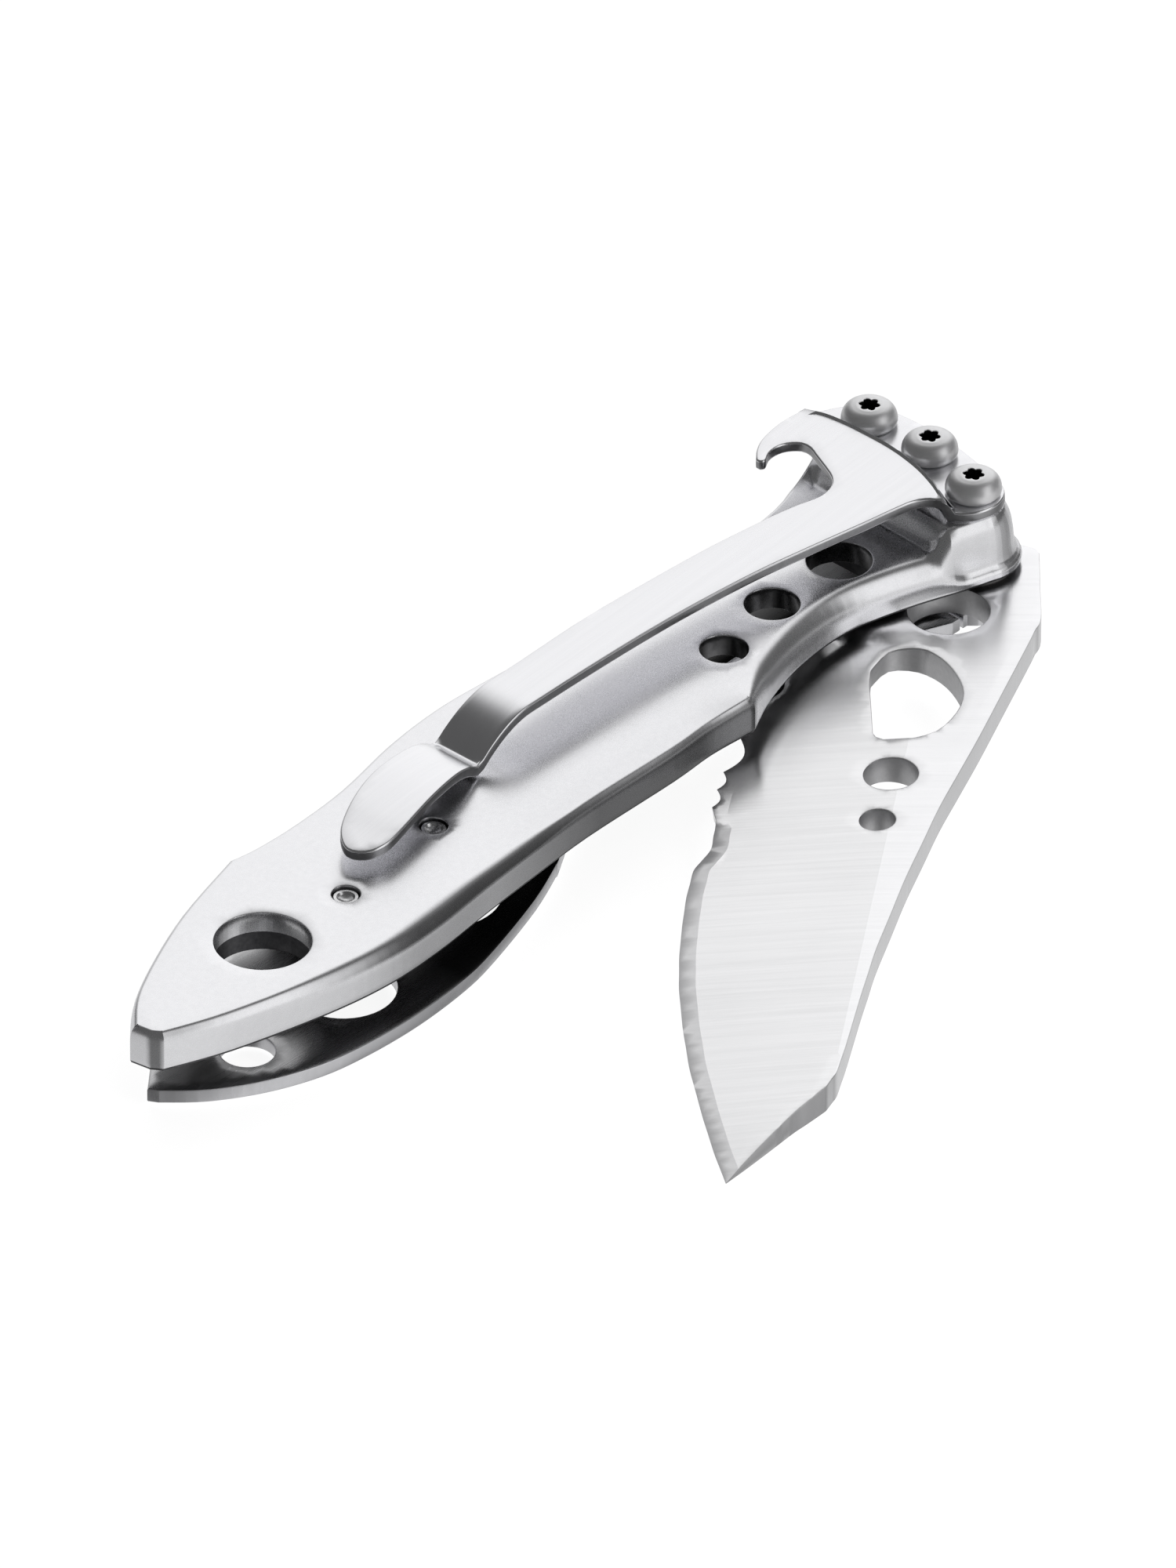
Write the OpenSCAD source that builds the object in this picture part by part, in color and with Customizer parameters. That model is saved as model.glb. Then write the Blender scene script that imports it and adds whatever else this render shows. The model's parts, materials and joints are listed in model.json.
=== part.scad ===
// Folding pocket knife with a one-hand blade, a liner lock, a pocket clip and a bottle opener.
// The origin lies on the blade's pivot axis, in the plane of the lock plate's outer face.
// +X runs from the tail to the pivot end, +Y to the handle's back, +Z to the clip side.

/* [Stack] */
// Thickness of the plate that carries the lock bar
plate_t = 1.1; // [1.0:0.1:1.3]
// Thickness of each pivot washer
washer_t = 0.2; // [0.15:0.05:0.3]
// Thickness of the blade
blade_t = 2.2; // [2.0:0.1:2.4]
// Gap between the blade and each washer
run_gap = 0.05; // [0.03:0.01:0.08]
// Height of the scale's tail and waist above its underside
scale_t = 3.1; // [2.9:0.1:3.4]
// Height of the scale's head above its underside
head_t = 4.7; // [4.5:0.1:5.0]
// Depth of the pocket in the scale's underside
pocket_d = 1.3; // [1.0:0.1:1.5]
// Thickness of the clip's sheet
clip_t = 0.8; // [0.7:0.05:0.9]

/* [Blade] */
// Angle the blade stands open, from closed
blade_open = 26; // [0:1:180]
// Radius of the blade's pivot hole
blade_bore_r = 2.05; // [2.05:0.01:2.08]
// Depth of the grind at the cutting edge, on each side
grind_d = 0.75; // [0.5:0.05:0.9]
// Width of a small serration; a large one is twice as wide
serration_pitch = 2.15; // [2.0:0.05:2.3]

/* [Holes] */
// Radius of the lanyard hole
lanyard_r = 3.38; // [3.0:0.02:3.5]
// Radius of the plate's smaller eye below the lanyard hole
plate_eye_r = 2.6; // [2.2:0.1:2.8]
// Width of the collar that lines the lanyard hole inside the scale's pocket
collar_w = 0.7; // [0.5:0.1:0.9]
// Radii of the three holes near the head, from the head to the tail
waist_hole_r = [2.3, 1.95, 1.7];

/* [Fasteners] */
// Radius of the pivot barrel
barrel_r = 2; // [1.9:0.01:2]
// Radius of a spacer pin's head
pin_head_r = 0.95; // [0.9:0.05:1.15]
// Radius of a screw's shank
shank_r = 1; // [0.9:0.05:1]
// Radius of a screw's button head
button_r = 2; // [1.8:0.05:2.1]
// Height of a screw's button head
button_h = 1.6; // [1.4:0.05:1.7]
// Radius of the stop pin
stop_r = 1.2; // [1.0:0.05:1.3]

/* [Hidden] */

// Clearance between a fastener and its hole
slip = 0.05;
// A little more than nothing, for cuts that run past a face
over = 0.1;

blade_z = plate_t + washer_t + run_gap;
scale_z = blade_z + blade_t + run_gap + washer_t;
waist_z = scale_z + scale_t;
head_z = scale_z + head_t;
roof_z = scale_z + pocket_d;
flange_z = head_z + clip_t;
clip_z = flange_z + clip_t;
// The stop pin ends in the scale below the short screw, which ends in the head
stop_end_z = scale_z + 1.2;
short_end_z = stop_end_z + 0.5;

// Places of the screws, seen from the clip side
short_at = [1.4, 5.4];
long_at = [1.4, 11.1];
lanyard_at = [-70.6, 1.3];
waist_holes_at = [[-9.8, 3.6], [-16.9, 3.4], [-23.2, 2.1]];
pins_at = [[-62.6, 1.0], [-52.5, 2.2]];
rivets_at = [[-56, 7.3], [-44.5, 9.3]];
detent_at = [-4.6, 3.5];
// Where the lock bar leaves the plate, and where the clip's arm leaves its base
bar_root_x = -44;
arm_root_x = -13;

// Points on a smooth open curve through the given points, without the last one
function curve(p, n = 5) = [
    for (i = [0:len(p) - 2], k = [0:n - 1])
        let (a = p[max(i - 1, 0)], b = p[i], c = p[i + 1], d = p[min(i + 2, len(p) - 1)], t = k / n)
        b + t * (c - a) / 2
            + t * t * (2 * a - 5 * b + 4 * c - d) / 2
            + t * t * t * (3 * b - a - 3 * c + d) / 2
];
function arc(centre, r, from, to, n) = [
    for (i = [0:n]) centre + r * [cos(from + (to - from) * i / n), sin(from + (to - from) * i / n)]
];
function unit(v) = v / norm(v);
function left_of(v) = [-v[1], v[0]];
// A strip of even thickness along a line of points
function ribbon(p, t) = let (
    n = [for (i = [0:len(p) - 1]) left_of(unit(p[min(i + 1, len(p) - 1)] - p[max(i - 1, 0)]))]
) concat(
    [for (i = [0:len(p) - 1]) p[i] - n[i] * t / 2],
    [for (i = [len(p) - 1:-1:0]) p[i] + n[i] * t / 2]
);

module slab(outline, z0, z1) {
    translate([0, 0, z0]) linear_extrude(z1 - z0) polygon(outline);
}
module peg(at, r, z0, z1) {
    translate([at[0], at[1], z0]) cylinder(r = r, h = z1 - z0, $fn = 64);
}
module washer(r_out, r_in, z0, z1) {
    difference() {
        peg([0, 0], r_out, z0, z1);
        peg([0, 0], r_in, z0 - over, z1 + over);
    }
}

// Outline of the scale: the finger side from the tail, the head, then the back
tail_finger = [[-83.4, -1.45], [-78.5, -3.3], [-71, -5.1], [-65.3, -5.8], [-60.3, -5.6], [-54.9, -4.9]];
waist_finger = [[-49.6, -4.3], [-43.2, -3.7], [-34.3, -3.5], [-30, -3.2], [-26, -3.4]];
notch_finger = [[-26, -3.4], [-22.5, -1.7], [-18, -0.4], [-13, 0], [-8, -1], [-3.5, -2.5], [-1.4, -3.1]];
head_front = [[3.7, 1.2], [4.5, 4.8], [4.7, 9], [4.1, 12.6], [2, 14.6], [-1, 14.7], [-3.6, 13.1]];
waist_back = [[-3.6, 13.1], [-8.2, 11.3], [-16, 10.6], [-25, 11], [-37, 11.7], [-42.1, 11.8], [-47.5, 11.2]];
tail_back = [[-53.6, 9.9], [-58.8, 9.4], [-62.8, 9.4], [-65, 9.7]];
tip_back = [[-65, 9.7], [-72, 7.6], [-78, 5.0], [-82.1, 2.7], [-84.2, 0.95]];
scale_line = concat(
    curve(concat(tail_finger, waist_finger)), curve(notch_finger),
    arc([0, 0], 3.4, -114, -4, 10), curve(head_front),
    curve(concat(waist_back, tail_back)), curve(tip_back), [[-84.2, 0.95], [-83.95, -0.65]]
);
// The scale's upper surface, seen from the finger side
scale_top = [[-86, waist_z - 0.15], [-70, waist_z], [-4.9, waist_z], [-3.3, head_z], [6, head_z]];
// The raised boss under the clip's flange
boss_line = concat(
    arc([0, 0], 2.4, -115, 0, 10), [[3.9, 4.8], [4.1, 9], [3.5, 12.2], [1.8, 13.9], [-1, 14], [-3.8, 12.5]],
    [[-5.2, 11.4], [-5.2, -0.6], [-3, -1.4]]
);

module handle_scale() {
    module upper() {
        translate([0, 20, scale_z]) rotate([90, 0, 0]) linear_extrude(40)
            translate([0, -scale_z]) polygon(concat([[6, scale_z], [-86, scale_z]], scale_top));
    }
    color("gainsboro") difference() {
        union() {
            intersection() {
                slab(scale_line, scale_z, waist_z);
                upper();
            }
            intersection() {
                slab(boss_line, scale_z, head_z);
                union() {
                    upper();
                    slab(boss_line, scale_z, scale_z + 1);
                }
            }
        }
        difference() {
            slab(pocket_line, scale_z - over, roof_z);
            peg(lanyard_at, lanyard_r + collar_w, scale_z - 2 * over, roof_z + over);
        }
        peg(lanyard_at, lanyard_r, scale_z - over, head_z);
        for (i = [0:2]) peg(waist_holes_at[i], waist_hole_r[i], scale_z - over, head_z);
        for (p = pins_at) peg(p, pin_head_r + slip, scale_z - over, head_z);
        peg([0, 0], barrel_r + slip, scale_z - over, head_z - 1.4);
        peg([0, 0], shank_r + slip, scale_z - over, head_z + over);
        peg(long_at, shank_r + slip, scale_z - over, head_z + over);
        peg(short_at, shank_r + slip, short_end_z - slip, head_z + over);
        peg(stop_at, stop_r + slip, scale_z - over, stop_end_z + slip);
    }
}

// The underside pocket keeps a rim along both sides and stops short of the pivot
pocket_line = concat(
    [[-7, 1], [-7, 9]],
    curve([[-16, 8.6], [-25, 9], [-37, 9.8], [-42.1, 9.9], [-47.5, 9.2], [-53.6, 8], [-62.8, 7.6], [-72, 5.8]]),
    [[-72, 5.8], [-79, 1]],
    curve([[-79, -0.6], [-71, -3.3], [-65.3, -4.1], [-54.9, -3.2], [-43.2, -2], [-30, -1.4], [-22, 0.2], [-14, 1.8]])
);

// Outline of the lock plate and its bar, tucked in under the scale from the waist to the head
plate_finger = [
    [-82.4, 0], [-80, -2.4], [-76.5, -4.6], [-72.5, -6.1], [-68.4, -6.7], [-63.5, -6.8],
    [-58.4, -6.3], [-54.5, -5.4], [-48.1, -3.3], [-43.6, -1.3]
];
plate_waist = [[-43.6, -1.3], [-41, 0.1], [-37, 0.8], [-26, 0.9], [-16, 1.3], [-9.5, 0.6], [-6, -0.8], [-3.6, -1.8]];
plate_back = [[0, 13], [-8, 10.4], [-16, 9.9], [-25, 10.3], [-37, 11], [-42.1, 11.1], [-47.5, 10.5], [-53.6, 9.2]];
plate_tip = [[-64.6, 9], [-72, 6.9], [-78, 4.3], [-82.8, 0.7]];
plate_line = concat(
    curve(plate_finger), curve(plate_waist), arc([0, 0], 2.9, -145, 0, 10),
    [[3.3, 4.8], [4, 9], [3.4, 12], [1.8, 13.6]],
    curve(concat(plate_back, [[-58.8, 8.7], [-64.6, 9]])), curve(plate_tip), [[-82.8, 0.7]]
);
// The part of the outline that the lock bar fills, tip first
bar_tip_x = -3.15;
bar_slot = 0.35;
bar_top = [[bar_tip_x, 3.1], [-6, 4.9], [-12, 5.9], [-22, 5.6], [-34, 5.1], [bar_root_x, 4.8]];
bar_line = concat(
    [[bar_root_x, -10], [bar_tip_x, -10]], [bar_top[0]],
    curve([for (i = [1:5]) bar_top[i]]), [bar_top[5]]
);
// The slot behind the bar, and the gap at its tip
slot_line = concat(
    [[bar_root_x, -10], [bar_tip_x + bar_slot, -10], [bar_tip_x + bar_slot, 3.1 + bar_slot]],
    curve([for (i = [1:5]) bar_top[i] + [0, bar_slot * 2]]), [bar_top[5] + [0, bar_slot * 2]]
);

module lock_plate() {
    color("silver") difference() {
        slab(plate_line, 0, plate_t);
        slab(slot_line, -over, plate_t + over);
        peg([bar_root_x, 5.15], 0.7, -over, plate_t + over);
        peg(lanyard_at, plate_eye_r, -over, plate_t + over);
        peg([-74.8, -1.2], 1.9, -over, plate_t + over);
        peg([-64.8, -0.8], 3.7, -over, plate_t + over);
        peg([-52, 2], 4.2, -over, plate_t + over);
        peg([0, 0], barrel_r + slip, -over, plate_t + over);
        peg(long_at, shank_r + slip, -over, plate_t + over);
        peg(stop_at, stop_r + slip, -over, plate_t + over);
        for (p = rivets_at) peg(p, 0.8 + slip, -over, plate_t + over);
    }
}

module lock_bar() {
    color("silver") difference() {
        intersection() {
            slab(plate_line, 0, plate_t);
            slab(bar_line, 0, plate_t);
        }
        peg([bar_root_x, 5.15], 0.7, -over, plate_t + over);
        peg(detent_at, 0.76, -over, plate_t + over);
        // The groove that lets the bar bend at its root
        translate([bar_root_x + 3, 10, -0.6]) rotate([90, 0, 0]) cylinder(r = 1.1, h = 20, $fn = 48);
    }
}

module detent_ball() {
    color("dimgray") translate([detent_at[0], detent_at[1], blade_z - 0.03 - 0.75]) sphere(r = 0.75, $fn = 48);
}

// Outline of the blade in its closed place, anticlockwise from the tang's front corner
tang_face_x = 3;
spine_start = [2.4, -4.1];
spine_end = [-5.3, -6.5];
tip = [-75.2, -4.7];
spine = [
    spine_end, [-8.5, -6.55], [-20.4, -6.5], [-29.4, -6.3], [-38.3, -6.5], [-47.1, -7.0],
    [-52.8, -7.6], [-58.6, -8.3], [-61.8, -8.6]
];
belly = [
    tip, [-72.0, -2.9], [-68.1, -0.9], [-62.9, 1.6], [-58.5, 3.4], [-54.1, 5.0], [-50.4, 6.1],
    [-46.7, 7.0], [-43.4, 7.7], [-40.2, 8.15], [-37.4, 7.75], [-34.4, 8.3]
];
// Small and large scallops, from the plain edge towards the heel
serration_start = -32.8;
scallops = [1, 1, 2, 1, 1, 2];
function scallop_x(i) = i == 0 ? serration_start : scallop_x(i - 1) + scallops[i - 1] * serration_pitch;
// Height of the line that joins the points of the teeth
function tooth_y(x) = 9.6 - (x < -26 ? 0.012 : 0.004) * pow(x + 26, 2);
serrated_edge = [
    for (i = [0:len(scallops) - 1], k = [0:5 * scallops[i]])
        let (w = scallops[i] * serration_pitch, t = k / (5 * scallops[i] + 1), x = scallop_x(i) + t * w)
        [x, tooth_y(x) - 0.2 * w * sin(180 * t)]
];
heel = [[-9.6, 9.1], [-7.4, 8.4], [-4.6, 6.6], [-2.2, 4.9], [0, 4.4]];
blade_line = concat(
    [[tang_face_x - 0.15, -3.75], [tang_face_x, -2.4]], [[tang_face_x, 2.6]],
    arc([0, 0], 4.4, 50, 90, 5),
    [for (i = [len(heel) - 2:-1:0]) heel[i]],
    [for (i = [len(serrated_edge) - 1:-1:0]) serrated_edge[i]],
    [for (i = [len(belly) - 1:-1:1]) belly[i]],
    [tip, [-67.4, -7.0], [-63.6, -8.4]],
    [for (i = [len(spine) - 1:-1:0]) spine[i]],
    [spine_start]
);
// Where the stop pin meets the spine's flat when the blade stands fully open
spine_way = unit(spine_end - spine_start);
stop_at = -(spine_start + spine_way * 5) - left_of(spine_way) * (stop_r + 0.03);
thumb_hole = concat(
    [[-22.2, 0.4], [-21.8, 0.75], [-15.9, 2.75]],
    curve([
        [-14.4, 3.1], [-12.1, 2.5], [-11.3, 0.6], [-12, -1.2], [-13.6, -2.8], [-15.6, -3.9], [-18, -4.1],
        [-20.6, -3.4], [-22.2, -1.6]
    ], 3), [[-22.4, -0.2]]
);
// The grind runs along this line, from the thumb hole to the spine's corner
grind_from = [-10, 0.1];
grind_to = [-61.8, -8.3];
grind_w = 11.4;

module blade() {
    way = atan2(grind_to[1] - grind_from[1], grind_to[0] - grind_from[0]) + 180;
    module grind() {
        // A wedge with its thin edge on the grind line and its full depth at the cutting edge
        translate([grind_from[0], grind_from[1], 0]) rotate([0, 0, way]) translate([-80, 0, 0])
            rotate([90, 0, 90]) linear_extrude(80) polygon([
                [0, 0], [grind_w * 1.4, -grind_d * 1.4], [grind_w * 1.4, 1], [0, 1]
            ]);
    }
    color("whitesmoke") rotate([0, 0, blade_open]) difference() {
        slab(blade_line, blade_z, blade_z + blade_t);
        translate([0, 0, blade_z + blade_t]) grind();
        translate([0, 0, blade_z]) mirror([0, 0, 1]) grind();
        peg([0, 0], blade_bore_r, blade_z - over, blade_z + blade_t + over);
        peg([-6.3, -0.1], 2.85, blade_z - over, blade_z + blade_t + over);
        slab(thumb_hole, blade_z - over, blade_z + blade_t + over);
        peg([-26.4, -1.9], 2, blade_z - over, blade_z + blade_t + over);
        peg([-32, -2.6], 1.35, blade_z - over, blade_z + blade_t + over);
        // The dimple that the detent ball drops into when the blade is closed
        peg(detent_at, 0.5, blade_z - over, blade_z + 0.5);
    }
}

module pivot_barrel() {
    color("gray") difference() {
        peg([0, 0], barrel_r, 0, head_z - 1.45);
        peg([0, 0], shank_r + slip, blade_z, head_z);
    }
}

// A button-head screw with a six-lobed socket; its head stands on z = 0
module button_screw(length) {
    difference() {
        union() {
            rotate_extrude($fn = 64) polygon(concat(
                [[0, 0], [button_r - 0.1, 0], [button_r, 0.15]],
                [for (a = [0:10:80]) [button_r * cos(a * 0.8), 0.45 + (button_h - 0.45) * sin(a)]],
                [[button_r * 0.45, button_h], [0, button_h]]
            ));
            translate([0, 0, -length]) cylinder(r = shank_r, h = length + over, $fn = 48);
        }
        translate([0, 0, button_h - 0.9]) {
            cylinder(r = 0.62, h = 1, $fn = 36);
            for (a = [0:60:300]) rotate([0, 0, a]) translate([0.62, 0, 0]) cylinder(r = 0.2, h = 1, $fn = 24);
        }
    }
}
module screw_at(at, length) {
    color("darkgray") translate([at[0], at[1], flange_z]) button_screw(length);
}
module pivot_screw() {
    screw_at([0, 0], flange_z - blade_z - 0.4);
}
module clip_screw_short() {
    screw_at(short_at, flange_z - short_end_z);
}
module clip_screw_long() {
    screw_at(long_at, flange_z - 0.2);
}

module washer_upper() {
    color("ivory") washer(2.75, barrel_r + slip, scale_z - washer_t, scale_z);
}
module washer_lower() {
    color("ivory") washer(2.75, barrel_r + slip, plate_t, plate_t + washer_t);
}
module stop_pin() {
    color("gray") peg(stop_at, stop_r, 0.2, stop_end_z);
}
module spacer_bush() {
    color("gray") translate([long_at[0], long_at[1], 0]) washer(1.8, shank_r + slip, plate_t, scale_z);
}

// Outline of the clip: its flange, the opener's hook and the long arm
step_line = curve([
    [-1.6, 14.6], [-1, 13.4], [-0.75, 11.6], [-0.7, 9.5], [-0.75, 7.6], [-0.95, 5.9], [-1.4, 3.9], [-2.1, 2], [-2.6, 0.9]
], 3);
flange_line = concat(
    [[-2.4, -1.1]], arc([0, 0], 2.15, -130, -10, 8),
    [[2.9, 3], [3.6, 5], [3.8, 9], [3.5, 11.6], [2.4, 13.2], [0, 14.2], [-1.6, 14.6]],
    step_line
);
hook_line = curve([
    [-1.6, 14.9], [-3.4, 14.95], [-4.9, 14.75], [-6.3, 14.35], [-7.4, 13.7], [-8.1, 13.05], [-7.7, 12.45],
    [-6.9, 12.95], [-6.1, 13.05], [-5.2, 12.8], [-4.5, 12.1], [-4.45, 11.3], [-4.8, 10.5], [-5.6, 8.7],
    [-6.05, 7.85], [-6.7, 7.2], [-7.6, 6.85], [-8.6, 6.8], [-10.2, 7.2]
], 3);
arm_back = [[-10.2, 7.2], [-14, 7.75], [-18.6, 8.2], [-30.8, 8.6], [-38.2, 8.1], [-45.6, 8], [-49.5, 7.8]];
pad_tip = [[-49.5, 7.8], [-53, 7.5], [-56.5, 6.4], [-59, 4.8], [-60.1, 3], [-58.8, 1.4], [-56.6, 1.5]];
arm_finger = [
    [-56.6, 1.5], [-52, 2.6], [-45.6, 3.9], [-33.8, 4.2], [-24.2, 4.1], [-18.3, 3.65], [-13.6, 3], [-8.8, 2.25],
    [-6.6, 2], [-4.6, 1.65], [-2.6, 0.9]
];
clip_line = concat(hook_line, curve(arm_back), curve(pad_tip), curve(arm_finger), [[-2.6, 0.9]], [
    for (i = [len(step_line) - 1:-1:0]) step_line[i]
]);
// The sheet's middle line, seen from the finger side: flat, down to the scale, then an arched pad
clip_fold = [
    [6, clip_z - clip_t / 2], [-41, clip_z - clip_t / 2], [-42.4, clip_z - 0.7], [-43.8, clip_z - 1.4],
    [-45, clip_z - 2.2], [-45.9, waist_z + 0.52], [-46.5, waist_z + 0.48], [-47.6, waist_z + 1.1],
    [-49.3, waist_z + 1.5], [-52, waist_z + 1.65], [-55.5, waist_z + 1.5], [-58, waist_z + 1.25],
    [-62, waist_z + 0.9]
];
module clip_sheet() {
    intersection() {
        slab(clip_line, waist_z, clip_z + 1);
        translate([0, 20, 0]) rotate([90, 0, 0]) linear_extrude(40) polygon(ribbon(clip_fold, clip_t));
    }
}
module clip_base() {
    color("lightgray") difference() {
        union() {
            intersection() {
                clip_sheet();
                translate([arm_root_x, -20, 0]) cube([40, 50, 30]);
            }
            slab(flange_line, head_z, flange_z);
            // The riser between the flange and the opener
            slab(concat(
                step_line, [for (i = [len(step_line) - 1:-1:0]) step_line[i] - [clip_t, 0]]
            ), head_z + over, clip_z);
        }
        peg([0, 0], shank_r + slip, head_z - over, clip_z + over);
        peg(short_at, shank_r + slip, head_z - over, clip_z + over);
        peg(long_at, shank_r + slip, head_z - over, clip_z + over);
        for (p = [[0, 0], short_at, long_at]) peg(p, button_r + 0.1, flange_z, clip_z + over);
    }
}
module clip_arm() {
    color("lightgray") intersection() {
        clip_sheet();
        translate([arm_root_x - 60, -20, 0]) cube([60, 50, 30]);
    }
}

// The spacer: a wall between plate and scale along the back, and a shelf in the scale's pocket
wall_line = concat(
    curve([[-62, 8.9], [-58.8, 8.7], [-53.6, 9.2], [-47.5, 10.5], [-42.1, 11.1], [-38, 11]]), [[-38, 11], [-38, 9.2]],
    curve([[-42.1, 9.1], [-47.5, 8.4], [-53.6, 6.9], [-57, 6.2], [-62, 6.6]]), [[-62, 6.6]]
);
shelf_line = concat(
    [[-65.5, -1], [-51, 0]],
    curve([[-49, 3], [-46, 6], [-42, 7.5], [-42, 9.4], [-47.5, 8.8], [-53.6, 7.6], [-62.8, 7.2]]), [[-65.5, 6.8]]
);
module back_spacer() {
    color("gray") difference() {
        union() {
            slab([for (i = [len(wall_line) - 1:-1:0]) wall_line[i]], plate_t, scale_z);
            slab(shelf_line, scale_z - 0.1, roof_z - 0.02);
        }
        for (p = pins_at) peg(p, 0.8 + slip, scale_z - 1, roof_z + over);
        for (p = rivets_at) peg(p, 0.8 + slip, plate_t - over, plate_t + 1.6);
    }
}
module spacer_pins() {
    color("silver") for (p = pins_at) {
        peg(p, 0.8, scale_z, waist_z - 0.5);
        peg(p, pin_head_r, roof_z, waist_z - 0.25);
    }
}
module plate_rivets() {
    color("silver") for (p = rivets_at) peg(p, 0.8, 0, plate_t + 1.5);
}

handle_scale();
lock_plate();
lock_bar();
detent_ball();
blade();
pivot_barrel();
pivot_screw();
clip_screw_short();
clip_screw_long();
washer_upper();
washer_lower();
stop_pin();
spacer_bush();
clip_base();
clip_arm();
back_spacer();
spacer_pins();
plate_rivets();
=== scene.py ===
"""A half-open stainless folding knife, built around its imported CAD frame."""

import json
import math

import bmesh
import bpy
import numpy as np
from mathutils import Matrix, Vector
from mathutils.geometry import delaunay_2d_cdt


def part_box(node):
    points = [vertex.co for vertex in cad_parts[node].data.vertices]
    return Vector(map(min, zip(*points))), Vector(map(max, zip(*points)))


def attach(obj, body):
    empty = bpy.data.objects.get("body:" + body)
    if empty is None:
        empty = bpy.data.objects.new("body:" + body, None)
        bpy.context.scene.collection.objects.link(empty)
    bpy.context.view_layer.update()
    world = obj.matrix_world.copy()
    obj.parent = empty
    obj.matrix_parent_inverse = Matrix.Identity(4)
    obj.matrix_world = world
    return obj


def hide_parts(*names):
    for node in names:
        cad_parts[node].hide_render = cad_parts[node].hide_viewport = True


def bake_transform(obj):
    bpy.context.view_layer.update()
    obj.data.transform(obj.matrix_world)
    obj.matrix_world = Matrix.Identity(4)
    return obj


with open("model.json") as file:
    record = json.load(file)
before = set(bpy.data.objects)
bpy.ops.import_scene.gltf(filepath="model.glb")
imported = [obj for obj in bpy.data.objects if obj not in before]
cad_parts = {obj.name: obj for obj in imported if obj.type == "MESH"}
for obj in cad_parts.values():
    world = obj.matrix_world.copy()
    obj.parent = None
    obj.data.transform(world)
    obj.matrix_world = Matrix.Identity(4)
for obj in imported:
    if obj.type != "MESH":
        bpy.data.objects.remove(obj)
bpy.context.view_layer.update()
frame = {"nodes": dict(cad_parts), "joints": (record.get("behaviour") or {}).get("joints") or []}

MM = 0.001  # shapes are worked out in millimetres and written in metres
OPEN_DEG = -frame["joints"][0]["range_deg"][0]  # how far the blade stands open from closed
MITRE_LIMIT = 0.55      # keeps insets from running away at sharp corners
CORNER_DEG = 24         # a bend sharper than this stays a corner when a loop is refined


# ---------------------------------------------------------------- plane geometry

def unit(v):
    return v / np.maximum(np.linalg.norm(v, axis=-1, keepdims=True), 1e-12)


def turn(points, degrees):
    """The points turned about the origin."""
    c, s = math.cos(math.radians(degrees)), math.sin(math.radians(degrees))
    return points @ np.array([[c, s], [-s, c]])


def smooth(t):
    """An eased step from 0 to 1 as t goes from 0 to 1."""
    t = np.clip(t, 0, 1)
    return t * t * (3 - 2 * t)


def spline(points, step=0.4, closed=False):
    """A Catmull-Rom curve through the points, resampled at about the given step."""
    p = np.array(points, float)
    n = len(p)
    out = []
    for i in range(n if closed else n - 1):
        if closed:
            a, b, c, d = p[i - 1], p[i], p[(i + 1) % n], p[(i + 2) % n]
        else:
            a, b, c, d = p[max(i - 1, 0)], p[i], p[i + 1], p[min(i + 2, n - 1)]
        count = max(2, int(np.linalg.norm(c - b) / step))
        t = (np.arange(count) / count)[:, None]
        out.append(b + t * (c - a) / 2 + t * t * (2 * a - 5 * b + 4 * c - d) / 2
                   + t ** 3 * (3 * b - a - 3 * c + d) / 2)
    if not closed:
        out.append(p[-1:])
    return np.concatenate(out)


def area(loop):
    """The area of a loop, negative when it runs clockwise."""
    x, y = loop[:, 0], loop[:, 1]
    return 0.5 * np.sum(x * np.roll(y, -1) - y * np.roll(x, -1))


def inside(points, loop):
    """Whether each point lies inside the loop."""
    x, y = points[:, 0][:, None], points[:, 1][:, None]
    ax, ay = loop[:, 0][None], loop[:, 1][None]
    bx, by = np.roll(loop, -1, 0)[:, 0][None], np.roll(loop, -1, 0)[:, 1][None]
    crosses = (ay > y) != (by > y)
    at = (bx - ax) * (y - ay) / np.where(by == ay, 1e-12, by - ay) + ax
    return (np.sum(crosses & (x < at), 1) % 2) == 1


def distance(points, line, closed=True):
    """Distance from each point to a line of points."""
    a = line if closed else line[:-1]
    b = np.roll(line, -1, 0) if closed else line[1:]
    d = b - a
    ap = points[:, None, :] - a[None]
    t = np.clip(np.sum(ap * d[None], 2) / np.maximum(np.sum(d * d, 1)[None], 1e-12), 0, 1)
    return np.min(np.linalg.norm(ap - t[..., None] * d[None], axis=2), 1)


def nearest(points, others):
    """Distance from each point to the nearest of the others."""
    d = points[:, None, :] - others[None]
    return np.sqrt(np.min(np.sum(d * d, 2), 1))


def side_of(points, line):
    """Distance to an open line, positive on its +X side."""
    d = distance(points, line, closed=False)
    y = np.clip(points[:, 1], line[:, 1].min(), line[:, 1].max())
    order = np.argsort(line[:, 1])
    x = np.interp(y, line[order, 1], line[order, 0])
    return np.where(points[:, 0] > x, d, -d)


def normals_open(line):
    """Left-hand directions along an open line."""
    way = unit(np.gradient(line, axis=0))
    return np.stack([-way[:, 1], way[:, 0]], 1)


def normals(loop):
    """For each point of a loop, the mitred direction to its left, which is into the material."""
    before = unit(loop - np.roll(loop, 1, 0))
    after = unit(np.roll(loop, -1, 0) - loop)
    left_a = np.stack([-before[:, 1], before[:, 0]], 1)
    left_b = np.stack([-after[:, 1], after[:, 0]], 1)
    n = unit(left_a + left_b)
    return n / np.maximum(np.sum(n * left_a, 1), MITRE_LIMIT)[:, None]


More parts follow.
